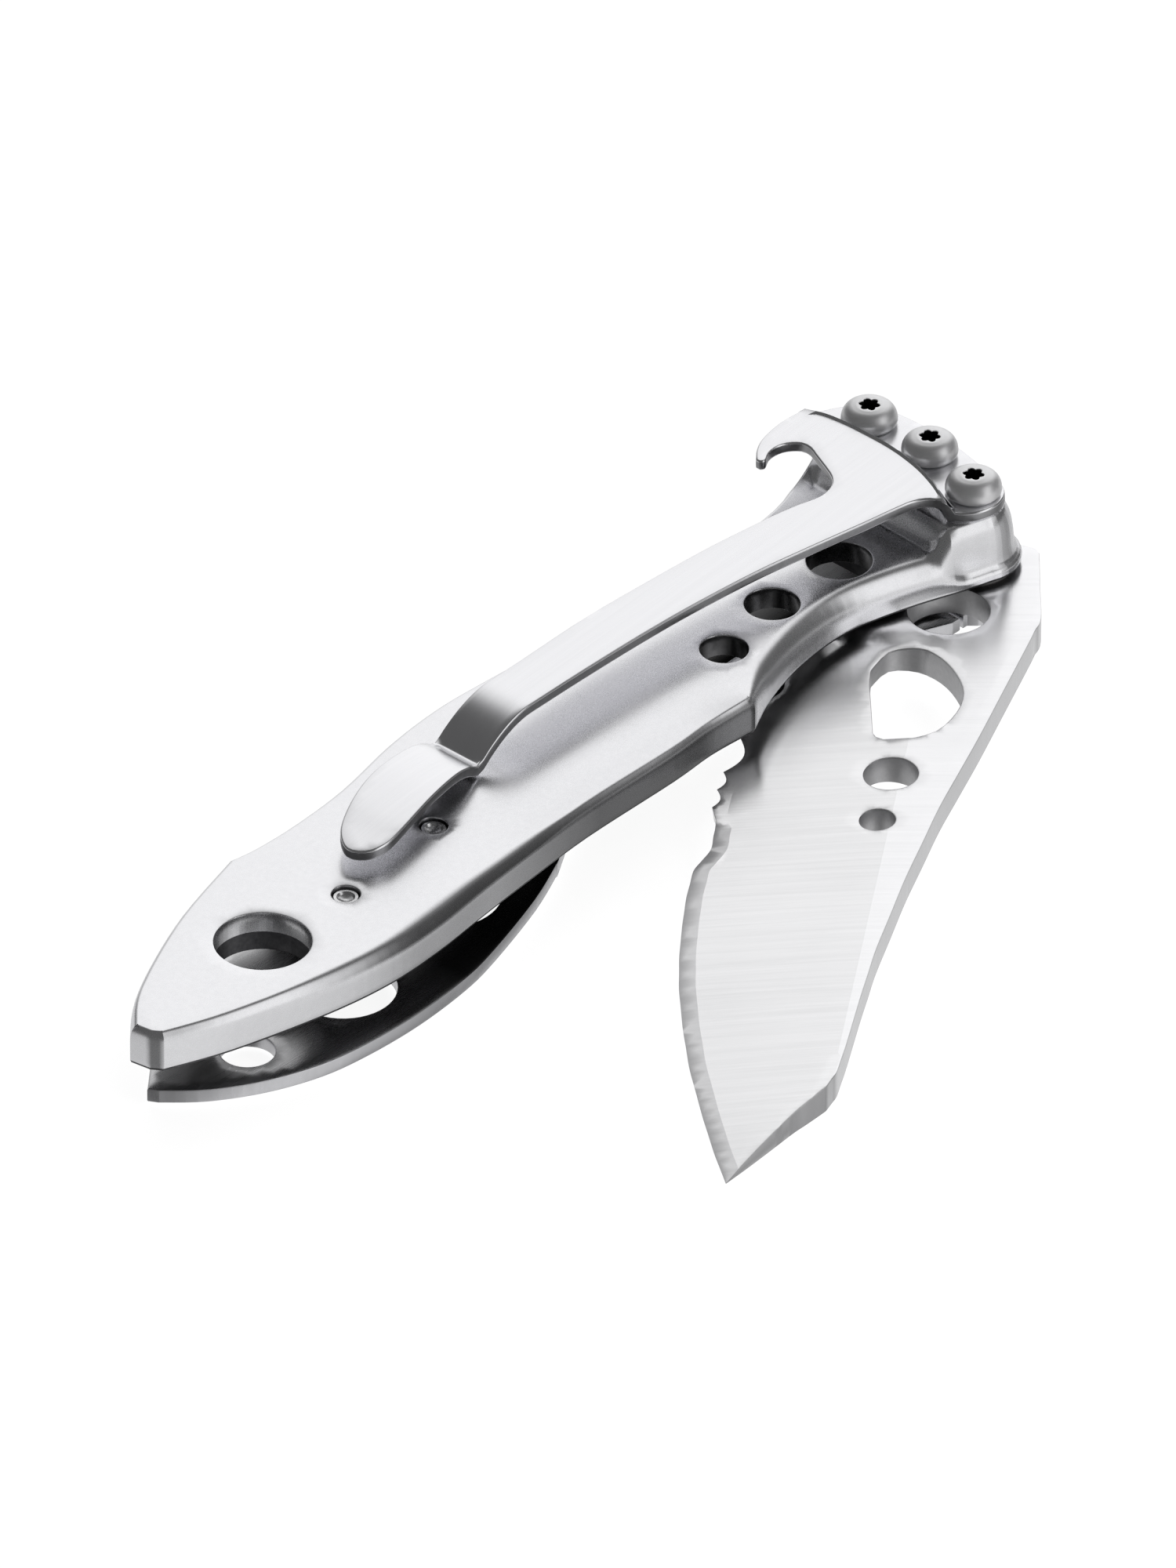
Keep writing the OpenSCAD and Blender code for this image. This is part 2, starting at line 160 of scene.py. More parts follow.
def refine(loop, step):
    """Rounds the gentle bends of a loop, keeps its corners, and splits its long sides."""
    keep = np.linalg.norm(loop - np.roll(loop, 1, 0), axis=1) > 0.03
    loop = loop[keep]
    a, b = unit(loop - np.roll(loop, 1, 0)), unit(np.roll(loop, -1, 0) - loop)
    sharp = np.sum(a * b, 1) < math.cos(math.radians(CORNER_DEG))
    out = []
    n = len(loop)
    for i in range(n):
        p0, p1, p2, p3 = loop[i - 1], loop[i], loop[(i + 1) % n], loop[(i + 2) % n]
        p0 = p1 if sharp[i] else p0
        p3 = p2 if sharp[(i + 1) % n] else p3
        count = max(1, int(round(np.linalg.norm(p2 - p1) / step)))
        t = (np.arange(count) / count)[:, None]
        out.append(p1 + t * (p2 - p0) / 2 + t * t * (2 * p0 - 5 * p1 + 4 * p2 - p3) / 2
                   + t ** 3 * (3 * p1 - p0 - 3 * p2 + p3) / 2)
    return np.concatenate(out)


def section(node, z, step=0.5, least=0.0):
    """The loops where a CAD node crosses a height, in millimetres: the outer one, then its holes."""
    bm = bmesh.new()
    bm.from_mesh(frame["nodes"][node].data)
    bmesh.ops.remove_doubles(bm, verts=bm.verts, dist=1e-6)
    cut = bmesh.ops.bisect_plane(bm, geom=bm.verts[:] + bm.edges[:] + bm.faces[:], dist=1e-7,
                                 plane_co=(0, 0, z * MM), plane_no=(0, 0, 1))["geom_cut"]
    edges = set(e for e in cut if isinstance(e, bmesh.types.BMEdge))
    links = {}
    for e in edges:
        for v in e.verts:
            links.setdefault(v, []).append(e)
    loops = []
    while edges:
        e = min(edges, key=lambda e: tuple(e.verts[0].co))
        v = start = e.verts[0]
        chain = []
        while True:
            edges.discard(e)
            chain.append((v.co.x / MM, v.co.y / MM))
            v = e.other_vert(v)
            following = [other for other in links[v] if other in edges]
            if v is start or not following:
                break
            e = following[0]
        loops.append(np.array(chain))
    bm.free()
    loops = [loop for loop in loops if len(loop) > 5]
    loops.sort(key=lambda loop: -abs(area(loop)))
    turned = [loop if (area(loop) > 0) == (i == 0) else loop[::-1] for i, loop in enumerate(loops)]
    refined = [refine(loop, step) for loop in turned]
    return [loop for loop in refined if abs(area(loop)) > least]


# ---------------------------------------------------------------- mesh building

def round_rim(r, steps=4):
    """A quarter-round edge, as (inset, drop) pairs from the wall up to the face."""
    angles = np.linspace(0, math.pi / 2, steps + 1)
    return [(r * (1 - math.cos(a)), r * (1 - math.sin(a))) for a in angles]


def mesh_object(name, verts, faces, sharp_edges=(), sharp_deg=32):
    mesh = bpy.data.meshes.new(name)
    mesh.from_pydata([tuple(v) for v in np.asarray(verts) * MM], [], faces)
    mesh.validate()
    bm = bmesh.new()
    bm.from_mesh(mesh)
    bmesh.ops.remove_doubles(bm, verts=bm.verts, dist=2e-7)
    bmesh.ops.recalc_face_normals(bm, faces=bm.faces)
    bm.to_mesh(mesh)
    bm.free()
    mesh.shade_smooth()
    mesh.set_sharp_from_angle(angle=math.radians(sharp_deg))
    if len(sharp_edges):
        mark_sharp(mesh, sharp_edges)
    obj = bpy.data.objects.new(name, mesh)
    bpy.context.scene.collection.objects.link(obj)
    return obj


def mark_sharp(mesh, segments):
    """Makes creases of the edges along the given segments, each a pair of points in millimetres."""
    def key(p):
        return tuple(np.round(np.asarray(p) * 200).astype(int))
    wanted = set()
    for a, b in segments:
        wanted.add(frozenset((key(a), key(b))))
    co = np.array([v.co for v in mesh.vertices]) / MM
    for e in mesh.edges:
        if frozenset((key(co[e.vertices[0]]), key(co[e.vertices[1]]))) in wanted:
            e.use_edge_sharp = True


class Face:
    """One side of a slab: rings along its loops, lines to follow, and points filled in between."""

    def __init__(self, height, sign, rings, spacing):
        self.height, self.sign, self.spacing = height, sign, spacing
        self.rings = rings       # per loop: (xy, z) pairs from the wall inwards
        self.points, self.z, self.edges = [], [], []
        self.creases = []
        self.blocked = []        # pairs of loops between which no filling points go

    def loose(self, xy):
        """Adds points that the triangles pass through."""
        if len(xy):
            self.points.append(xy)
            self.z.append(self.height(xy))

    def line(self, xy, z=None, closed=False, crease=False):
        """Adds a line that the triangles follow, with its own heights if given."""
        start = sum(len(p) for p in self.points)
        z = self.height(xy) if z is None else z
        self.points.append(xy)
        self.z.append(z)
        n = len(xy)
        pairs = [(start + i, start + (i + 1) % n) for i in range(n if closed else n - 1)]
        self.edges += pairs
        if crease:
            p = np.column_stack([xy, z])
            self.creases += [(p[i], p[(i + 1) % n]) for i in range(n if closed else n - 1)]

    def fill(self):
        """Triangles of the inner region, where each of their points comes from, and the new points."""
        inner = [rings[-1][0] for rings in self.rings]
        lo, hi = inner[0].min(0), inner[0].max(0)
        s = self.spacing
        gx, gy = np.meshgrid(np.arange(lo[0] + s / 2, hi[0], s), np.arange(lo[1] + s / 2, hi[1], s * 0.87))
        gx = gx + (np.arange(gx.shape[0]) % 2)[:, None] * s / 2
        grid = np.column_stack([gx.ravel(), gy.ravel()])
        ok = inside(grid, inner[0])
        for hole in inner[1:]:
            ok &= ~inside(grid, hole)
        grid = grid[ok]
        ok = np.ones(len(grid), bool)
        for ring in inner:
            ok &= distance(grid, ring) > s * 0.55
        for xy in self.points:
            ok &= nearest(grid, xy) > s * 0.5
        for outer, inner_loop in self.blocked:
            ok &= ~(inside(grid, outer) & ~inside(grid, inner_loop))
        grid = grid[ok]
        extra = np.concatenate(self.points) if self.points else np.zeros((0, 2))
        extra_z = np.concatenate(self.z) if self.z else np.zeros(0)
        ring_points = np.concatenate(inner)
        coords = np.concatenate([ring_points, extra, grid])
        edges, at = [], 0
        for ring in inner:
            n = len(ring)
            edges += [(at + i, at + (i + 1) % n) for i in range(n)]
            at += n
        edges += [(at + a, at + b) for a, b in self.edges]
        verts, _, tris, origin, _, _ = delaunay_2d_cdt([Vector(c) for c in coords], edges, [], 0, 1e-5)
        verts = np.array([tuple(v) for v in verts])
        tris = np.array([t for t in tris if len(t) == 3])
        mid = verts[tris].mean(1)
        ok = inside(mid, inner[0])
        for hole in inner[1:]:
            ok &= ~inside(mid, hole)
        own_z = np.concatenate([extra_z, self.height(grid) if len(grid) else np.zeros(0)])
        number, new_points = [], []
        for i, source in enumerate(origin):
            source = [k for k in source if k < len(coords)]
            if source and min(source) < len(ring_points):
                number.append(("ring", min(source)))
            else:
                if source:
                    z = own_z[min(source) - len(ring_points)]
                else:
                    z = float(self.height(verts[i:i + 1])[0])
                number.append(("own", len(new_points)))
                new_points.append((verts[i, 0], verts[i, 1], z))
        ring_base = []
        for k, ring in enumerate(inner):
            ring_base += [(k, i) for i in range(len(ring))]     # which ring, and which point of it
        return tris[ok], number, new_points, ring_base


def plain_rim(loops, height, sign, profile, share=None):
    """Rings of one (inset, drop) profile along every loop."""
    rings = []
    for loop in loops:
        n = normals(loop)
        f = np.ones(len(loop)) if share is None else share(loop)
        xys = [loop + n * (inset * f)[:, None] for inset, _ in profile]
        rings.append([(xy, height(xy) - sign * drop * f) for xy, (_, drop) in zip(xys, profile)])
    return rings


def slab(name, loops, up, low, wall_steps=1, sharp_deg=32):
    """A closed body between an upper and a lower face that share the same loops."""
    verts, faces = [], []

    def add(xy, z):
        base = len(verts)
        verts.extend(np.column_stack([xy, z]).tolist())
        return base

    last = {1: [], -1: []}
    for k, loop in enumerate(loops):
        n = len(loop)
        columns = [add(*low.rings[k][j]) for j in range(len(low.rings[k]) - 1, -1, -1)]
        z0, z1 = low.rings[k][0][1], up.rings[k][0][1]
        columns += [add(loop, z0 + (z1 - z0) * i / wall_steps) for i in range(1, wall_steps)]
        columns += [add(*ring) for ring in up.rings[k]]
        for a, b in zip(columns, columns[1:]):
            faces += [(a + i, a + (i + 1) % n, b + (i + 1) % n, b + i) for i in range(n)]
        last[-1].append(columns[0])
        last[1].append(columns[-1])
    creases = []
    for side, face in ((1, up), (-1, low)):
        tris, number, new_points, ring_base = face.fill()
        base = len(verts)
        verts.extend(new_points)
        on_ring = [last[side][k] + i for k, i in ring_base]
        index = [base + i if kind == "own" else on_ring[i] for kind, i in number]
        for a, b, c in tris:
            f = (index[a], index[b], index[c])
            if len(set(f)) == 3:
                faces.append(f if side > 0 else f[::-1])
        creases += face.creases
    return mesh_object(name, verts, faces, creases, sharp_deg)


def lathe(name, centre, profile, count=72, wobble=None, sharp_deg=32):
    """A turned body from (radius, height) pairs; wobble(angle, i) gives a factor on ring i's radius."""
    a = np.linspace(0, 2 * math.pi, count, endpoint=False)
    verts, faces = [], []
    for i, (r, z) in enumerate(profile):
        radius = r * (wobble(a, i) if wobble else np.ones(count))
        x, y = centre[0] + radius * np.cos(a), centre[1] + radius * np.sin(a)
        verts.extend(np.column_stack([x, y, np.full(count, z)]).tolist())
    for i in range(len(profile) - 1):
        s, t = i * count, (i + 1) * count
        faces += [(s + k, s + (k + 1) % count, t + (k + 1) % count, t + k) for k in range(count)]
    for i, order in ((0, -1), (len(profile) - 1, 1)):
        verts.append((centre[0], centre[1], profile[i][1]))
        hub = len(verts) - 1
        s = i * count
        faces += [(s + k, s + (k + 1) % count, hub)[::order] for k in range(count)]
    return mesh_object(name, verts, faces, sharp_deg=sharp_deg)


# ---------------------------------------------------------------- materials

class Nodes:
    """Short calls that build a node tree."""

    def __init__(self, tree):
        self.tree = tree
        tree.nodes.clear()

    def add(self, kind, **settings):
        node = self.tree.nodes.new(kind)
        for name, value in settings.items():
            if name.startswith("in_"):
                node.inputs[name[3:].replace("_", " ")].default_value = value
            else:
                setattr(node, name, value)
        return node

    def link(self, a, b):
        self.tree.links.new(a, b)

    def math(self, operation, a, b=None):
        node = self.add("ShaderNodeMath", operation=operation)
        for i, value in enumerate((a, b)):
            if value is None:
                continue
            if isinstance(value, (int, float)):
                node.inputs[i].default_value = value
            else:
                self.link(value, node.inputs[i])
        return node.outputs[0]

    def times(self, a, b):
        return self.math("MULTIPLY", a, b)

    def plus(self, a, b):
        return self.math("ADD", a, b)

    def span(self, value, low, high, to_low, to_high):
        """The value's place between low and high, as a number between to_low and to_high."""
        node = self.add("ShaderNodeMapRange", clamp=True)
        for i, v in enumerate((low, high, to_low, to_high)):
            node.inputs[i + 1].default_value = v
        self.link(value, node.inputs[0])
        return node.outputs[0]

    def noise(self, vector, scale, detail=3, rough=0.55):
        node = self.add("ShaderNodeTexNoise", in_Scale=scale, in_Detail=detail, in_Roughness=rough)
        self.link(vector, node.inputs["Vector"])
        return node.outputs["Fac"]

    def coords(self, degrees=0, stretch=(1, 1, 1)):
        """Object coordinates in millimetres, turned about Z, then stretched."""
        where = self.add("ShaderNodeTexCoord").outputs["Object"]
        rotate = self.add("ShaderNodeVectorRotate", rotation_type="Z_AXIS")
        rotate.inputs["Angle"].default_value = math.radians(-degrees)
        self.link(where, rotate.inputs["Vector"])
        scale = self.add("ShaderNodeVectorMath", operation="MULTIPLY")
        scale.inputs[1].default_value = [s / MM for s in stretch]
        self.link(rotate.outputs[0], scale.inputs[0])
        return scale.outputs[0]


def blank(name, **settings):
    """A new material, its nodes, and its one principled shader."""
    material = bpy.data.materials.new(name)
    material.use_nodes = True
    n = Nodes(material.node_tree)
    out = n.add("ShaderNodeOutputMaterial")
    shader = n.add("ShaderNodeBsdfPrincipled", **settings)
    n.link(shader.outputs[0], out.inputs[0])
    return material, n, shader


def steel(name, tone, rough, grain_deg=None, grain=0.5, mottle=0.03, bump=0.4, wear=0.25, smear=0.0,
          metal=1.0, painted_shade=()):
    """Stainless steel: a directional or a blasted finish, soft stains, and edges rubbed bright.

    smear draws reflections out across the grain, as fine parallel scratches do. Each painted-shade zone
    darkens a stretch along X with painted shade, for the shade and dark reflections that fall there. Its
    five values are where it fades in and out along X and where it fades out along Y (in millimetres), where
    it fades in and out by how far the surface faces up or down (0 for a wall, 1 for a face), and how much it
    darkens.
    """
    material, n, shader = blank(name, in_Metallic=metal)
    plain = n.coords()
    cloud = n.noise(plain, 0.12, 4)
    if grain_deg is None:
        fine = n.noise(plain, 9.0, 2, 0.7)
        streak = n.noise(plain, 2.2, 3)
    else:
        fine = n.noise(n.coords(grain_deg, (0.10, 9.0, 1.0)), 1.0, 2, 0.7)
        streak = n.noise(n.coords(grain_deg, (0.035, 1.9, 0.4)), 1.0, 3)
    edge = n.span(n.add("ShaderNodeNewGeometry").outputs["Pointiness"], 0.52, 0.62, 0.0, 1.0)
    stain = n.span(cloud, 0.3, 0.7, -mottle, mottle)
    shade = n.plus(stain, n.span(streak, 0.3, 0.7, -grain * 0.06, grain * 0.06))
    shade = n.plus(shade, n.times(edge, wear * 0.2))
    place, facing = n.add("ShaderNodeSeparateXYZ"), n.add("ShaderNodeSeparateXYZ")
    n.link(plain, place.inputs[0])
    n.link(n.add("ShaderNodeNewGeometry").outputs["Normal"], facing.inputs[0])
    flatness = n.math("ABSOLUTE", facing.outputs[2])
    # cut gathers the painted shade of all zones and multiplies it into the base colour
    cut = None
    for x_in, x_out, y_out, face_in, face_out, amount in painted_shade:
        share = n.span(place.outputs[0], *x_in, 0.0, 1.0)
        share = n.times(share, n.span(place.outputs[0], *x_out, 1.0, 0.0))
        share = n.times(share, n.span(place.outputs[1], *y_out, 1.0, 0.0))
        share = n.times(share, n.span(flatness, *face_in, 0.0, 1.0))
        share = n.times(share, n.span(flatness, *face_out, 1.0, 0.0))
        kept = n.math("SUBTRACT", 1.0, n.times(share, amount))
        cut = n.times(cut, kept) if cut else kept
    colour = n.add("ShaderNodeCombineColor")
    for i, part in enumerate(tone):
        channel = n.plus(shade, part)
        n.link(n.times(channel, cut) if cut else channel, colour.inputs[i])
    n.link(colour.outputs[0], shader.inputs["Base Color"])
    spread = 0.35 * grain
    roughness = n.span(fine, 0.25, 0.75, rough * (1 - spread), rough * (1 + spread))
    roughness = n.plus(roughness, n.span(cloud, 0.3, 0.7, -0.02, 0.03))
    roughness = n.math("SUBTRACT", roughness, n.times(edge, wear * 0.2))
    n.link(roughness, shader.inputs["Roughness"])
    relief = n.add("ShaderNodeBump", in_Strength=bump, in_Distance=0.002 * MM)
    n.link(n.plus(fine, n.times(streak, 0.5)), relief.inputs["Height"])
    n.link(relief.outputs[0], shader.inputs["Normal"])
    if smear:
        shader.inputs["Anisotropic"].default_value = smear
        way = n.add("ShaderNodeVectorTransform", vector_type="VECTOR", convert_from="OBJECT",
                    convert_to="WORLD")
        across = math.radians(grain_deg + 90)
        way.inputs[0].default_value = (math.cos(across), math.sin(across), 0)
        n.link(way.outputs[0], shader.inputs["Tangent"])
    return material


def plastic(name, tone, rough):
    """A plain washer plastic with a faint turned texture."""
    material, n, shader = blank(name)
    grain = n.noise(n.coords(), 6.0, 3)
    colour = n.add("ShaderNodeCombineColor")
    for i, part in enumerate(tone):
        n.link(n.span(grain, 0.3, 0.7, part * 0.94, part * 1.04), colour.inputs[i])
    n.link(colour.outputs[0], shader.inputs["Base Color"])
    n.link(n.span(grain, 0.3, 0.7, rough * 0.9, rough * 1.1), shader.inputs["Roughness"])
    relief = n.add("ShaderNodeBump", in_Strength=0.3, in_Distance=0.01 * MM)
    n.link(grain, relief.inputs["Height"])
    n.link(relief.outputs[0], shader.inputs["Normal"])
    return material


CAMERA_DEG = -47.1      # the camera's azimuth; the blade is ground level with the picture
FINGER_SIDE = (0.5, 2.5)        # a painted-shade zone that stops here along Y leaves out the back
EVERYWHERE = (40, 50)
# painted shade: one zone darkens the finger-side wall from X -54 to -25, the other the sloping faces of the
# rounded edge along the tail's finger side
SCALE_STEEL = steel("scale_steel", (0.84, 0.84, 0.86), 0.27, grain=0.3, mottle=0.02,
                    painted_shade=(((-54, -42), (-25.9, -25.3), FINGER_SIDE, (-0.1, 0.0), (0.25, 0.6), 0.66),
                          ((-74, -62), (-48, -36), FINGER_SIDE, (0.25, 0.45), (0.93, 0.99), 0.62)))
# painted shade: dark steel for the walls of the scale's through holes other than the lanyard hole, shaded by
# the scale
SHADE_BORE_STEEL = steel("painted_shade_bore", (0.16, 0.16, 0.165), 0.30, grain=0.4, wear=0)
# painted shade: near-black steel for the scale's underside and pocket, where shade falls under the scale
SHADE_UNDERSIDE_STEEL = steel("painted_shade_underside", (0.10, 0.10, 0.105), 0.40, grain=0.4, wear=0)
PLATE_STEEL = steel("plate_steel", (0.66, 0.66, 0.68), 0.30, grain_deg=0, grain=0.5)
# painted shade: a darker copy of the plate steel for the upper faces under the scale, with a zone that
# darkens them almost to black from X -62 to -10
PLATE_SHADED = steel("plate_painted_shade", (0.60, 0.60, 0.61), 0.28, grain_deg=0, grain=0.5, wear=0,
                    painted_shade=(((-66, -58), (-10.5, -8.5), EVERYWHERE, (0.8, 0.9), (1.1, 1.2), 0.92),))
BLADE_STEEL = steel("blade_steel", (0.89, 0.89, 0.905), 0.22, grain_deg=CAMERA_DEG, grain=0.25,
                    mottle=0.01, bump=0.1, smear=0.6)
GRIND_STEEL = steel("grind_steel", (0.84, 0.84, 0.85), 0.22, grain_deg=CAMERA_DEG, grain=0.4,
                    mottle=0.01, bump=0.1, smear=0.6)
HOLE_STEEL = steel("hole_steel", (0.64, 0.64, 0.65), 0.52, grain=0.5, wear=0)
BEVEL_STEEL = steel("bevel_steel", (0.84, 0.84, 0.85), 0.36, grain_deg=CAMERA_DEG, grain=0.4,
                    mottle=0.01, bump=0.1)
CLIP_STEEL = steel("clip_steel", (0.84, 0.84, 0.86), 0.25, grain_deg=4, grain=0.2, mottle=0.015,
                   bump=0.2)
# painted shade: a much darker copy of the clip steel for the sheet's cut edges
CLIP_EDGE_SHADE = steel("clip_edge_painted_shade", (0.36, 0.36, 0.37), 0.35, grain=0.5, wear=0)
SCREW_STEEL = steel("screw_steel", (0.90, 0.90, 0.91), 0.40, grain=0.3, metal=0.75)
PIN_STEEL = steel("pin_steel", (0.66, 0.66, 0.67), 0.28, grain=0.4)
SPACER_STEEL = steel("spacer_steel", (0.30, 0.30, 0.31), 0.40, grain=0.5)
# painted shade: near-black steel inside the screw sockets, for the shade in the recess
SOCKET_SHADE = steel("socket_painted_shade", (0.03, 0.03, 0.03), 0.55, grain=0.4, wear=0)
WASHER_PLASTIC = plastic("washer_plastic", (0.80, 0.79, 0.76), 0.45)


def finish_piece(obj, materials, slot, *nodes):
    """Gives a piece its materials, and takes the place of the CAD nodes it is made after. The slot is not
    used.
    """
    for material in materials:
        obj.data.materials.append(material)
    if nodes:
        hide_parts(*nodes)


# ---------------------------------------------------------------- scale

SCALE_LOW, SCALE_HIGH = (c.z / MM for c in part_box("handle_scale"))
WAIST_Z = SCALE_LOW + 3.1       # top of the tail and the waist
ROOF_Z = SCALE_LOW + 1.3        # roof of the pocket
PLATEAU_X = -3.3        # where the raised head ends
RAMP = 1.6              # length of the slope down from the head
WALL_LOW = SCALE_LOW + 0.62     # top of the narrow base that runs round the head
FINGER_Y = 3            # the finger side lies below this, the back above
# The head's wall: inset from the outline, and height
HEAD_WALL = ((0, 0), (0.06, 0.14), (0.2, 0.24), (0.36, 0.34), (0.46, 0.52), (0.52, 0.85), (0.56, 1.3),
             (0.62, 2.0), (0.72, 2.7), (0.86, 3.25), (1.02, 3.65), (1.2, 3.93), (1.4, 4.08))
# Along X: how far the face dips towards the finger side, and over what width
CROWN_DEPTH = ((-64, 0.0), (-48, 0.4), (-30, 0.45), (-25.5, 0.25), (-21, 0.3), (-9, 0.15), (-5, 0.5),
               (-3, 0.2))
CROWN_REACH = ((-60, 3.0), (-46, 4.6), (-28, 4.6), (-21, 2.6), (-8, 2.6))
# Along X: the width and the height of the rounded edge on the finger side; the back's is the same all along
EDGE_WIDTH = ((-84, 0.55), (-76, 0.72), (-68, 1.1), (-60, 1.6), (-51, 1.2), (-44, 0.6), (-27, 0.5),
              (-22, 1.5), (-8, 1.5))
EDGE_HEIGHT = ((-84, 1.2), (-68, 1.25), (-60, 1.2), (-50, 1.1), (-44, 1.3), (-27, 1.35), (-22, 2.0),
               (-8, 2.05))
BACK_EDGE = (0.4, 0.45)
COLLAR_W = 0.75         # the wall round the lanyard hole, inside the pocket


def along(x, stops):
    """A smooth function of x through (x, value) stops."""
    xs, values = (np.array(column) for column in zip(*stops))
    i = np.clip(np.searchsorted(xs, x) - 1, 0, len(xs) - 2)
    return values[i] + (values[i + 1] - values[i]) * smooth((x - xs[i]) / (xs[i + 1] - xs[i]))


def build_scale():
    outer, *inner_loops = section("handle_scale", WAIST_Z - 0.6, least=1)
    holes = [loop for loop in inner_loops if loop[:, 0].max() < -5]      # the head's screw holes are covered
    loops = [outer] + holes
    pocket = section("handle_scale", SCALE_LOW + 0.6, least=60)[1][::-1]
    finger = np.roll(outer, -np.argmax(outer[:, 1] > FINGER_Y), 0)
    finger = finger[finger[:, 1] < FINGER_Y]
    finger = finger[np.argsort(finger[:, 0])]

    def top(xy):
        x, y = xy[:, 0], xy[:, 1]
        d = distance(xy, finger, closed=False)
        crown = along(x, CROWN_DEPTH) * np.clip(1 - d / along(x, CROWN_REACH), 0, 1) ** 2
        ramp = smooth((x - PLATEAU_X + RAMP - 0.05 * y) / RAMP)
        return WAIST_Z - crown * (1 - ramp) + (SCALE_HIGH - WAIST_Z) * ramp

    def outer_rim(loop):
        """Rounded edges along the tail and waist, and the raised head's wall with a fillet at its foot."""
        x, y = loop[:, 0], loop[:, 1]
        n = normals(loop)
        front = smooth((FINGER_Y + 0.5 - y) / 2)
        head = smooth((x - PLATEAU_X + 2.6) / 3.0)
        wide = front * along(x, EDGE_WIDTH) + (1 - front) * BACK_EDGE[0]
        wall = WAIST_Z - front * along(x, EDGE_HEIGHT) - (1 - front) * BACK_EDGE[1]
        face = top(loop + n * wide[:, None])
        rings = []
        for k, (inset, rise) in enumerate(HEAD_WALL):
            a = k / (len(HEAD_WALL) - 1) * math.pi / 2
            w = (1 - head) * wide * (1 - math.cos(a)) + head * inset
            z = (1 - head) * (wall + (face - wall) * math.sin(a)) + head * (WALL_LOW + rise)
            rings.append((loop + n * w[:, None], z))
        return rings

    def bottom(xy):
        return np.where(inside(xy, pocket) & ~inside(xy, collar[::-1]), ROOF_Z, SCALE_LOW)

    lanyard = min(holes, key=lambda loop: loop[:, 0].mean() if abs(area(loop)) > 20 else 0)
    collar = lanyard + normals(lanyard) * COLLAR_W

    up = Face(top, 1, [outer_rim(outer)] + plain_rim(holes, top, 1, round_rim(0.12, 2)), 0.9)
    low = Face(bottom, -1, plain_rim([outer], bottom, -1, round_rim(0.3, 2))
               + plain_rim(holes, bottom, -1, round_rim(0.1, 1)), 1.2)
    for x in np.arange(PLATEAU_X - RAMP - 0.3, PLATEAU_X + 0.4, 0.22):      # close rows down the slope
        y = np.arange(-3, 14, 0.45)
        xy = np.column_stack([np.full(len(y), x), y])
        free = inside(xy, outer) & (distance(xy, outer) > 1.3)
        for hole in holes:
            free &= ~inside(xy, hole) & (distance(xy, hole) > 0.45)
        up.loose(xy[free])
    inner = pocket + normals(pocket) * 0.25
    low.line(pocket, np.full(len(pocket), SCALE_LOW), closed=True)
    low.line(inner, np.full(len(pocket), ROOF_Z), closed=True)
    low.blocked.append((pocket, inner))
    collar_foot = collar + normals(collar) * 0.12
    low.line(collar, np.full(len(collar), SCALE_LOW), closed=True)
    low.line(collar_foot, np.full(len(collar), ROOF_Z), closed=True)
    obj = slab("scale", loops, up, low, wall_steps=4, sharp_deg=44)
    finish_piece(obj, (SCALE_STEEL, SHADE_UNDERSIDE_STEEL, SHADE_BORE_STEEL), "scale_steel", "handle_scale")
    centres = np.array([p.center for p in obj.data.polygons]) / MM
    shaded_pocket = inside(centres[:, :2], pocket) & (centres[:, 2] < ROOF_Z + 0.02)
    shaded_bore = np.zeros(len(centres), bool)
    for hole in holes:
        if hole is not lanyard:
            shaded_bore |= inside(centres[:, :2], (hole + normals(hole) * 0.03)[::-1])
    shaded_bore &= centres[:, 2] < WAIST_Z - 0.1
    # downward faces and the pocket take the painted-shade underside steel; the walls of the through holes
    # take the painted-shade bore steel
    for p, dark, bore in zip(obj.data.polygons, shaded_pocket, shaded_bore):
        p.material_index = 1 if p.normal.z < -0.25 or dark else 2 if bore else 0
    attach(obj, "handle")


# ---------------------------------------------------------------- plate and lock bar

PLATE_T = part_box("lock_plate")[1].z / MM
BAR_ROOT_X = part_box("lock_bar")[0].x / MM
GROOVE_X, GROOVE_R, GROOVE_DEPTH = BAR_ROOT_X + 3, 1.1, 0.5     # the round groove that lets the bar bend


def build_plate():
    def share(xy):
        """The bar's root is cut square, where it meets the plate."""
        at_root = (np.abs(xy[:, 0] - BAR_ROOT_X) < 0.05) & (xy[:, 1] < 5.5)
        return np.where(at_root, 0.02, 1.0)

    for node, body in (("lock_plate", "handle"), ("lock_bar", "lock_bar")):
        loops = section(node, PLATE_T * 0.9, least=0.5)

        def low(xy, node=node):
            d = np.abs(xy[:, 0] - GROOVE_X)
            depth = np.sqrt(np.maximum(GROOVE_R ** 2 - d ** 2, 0)) - (GROOVE_R - GROOVE_DEPTH)
            return np.maximum(depth, 0) if node == "lock_bar" else np.zeros(len(xy))

        def high(xy):
            return np.full(len(xy), PLATE_T)

        edge = round_rim(0.14, 2)
        obj = slab(node + "_sheet", loops, Face(high, 1, plain_rim(loops, high, 1, edge, share), 0.8),
                   Face(low, -1, plain_rim(loops, low, -1, edge, share), 0.8))
        finish_piece(obj, (PLATE_STEEL, PLATE_SHADED), "plate_steel", node)
        # upward faces of the plate and the lock bar take the painted-shade copy
        for p in obj.data.polygons:
            p.material_index = int(p.normal.z > 0.9)
        if node == "lock_plate":
            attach(obj, body)
        else:
            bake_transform(obj)


# ---------------------------------------------------------------- blade

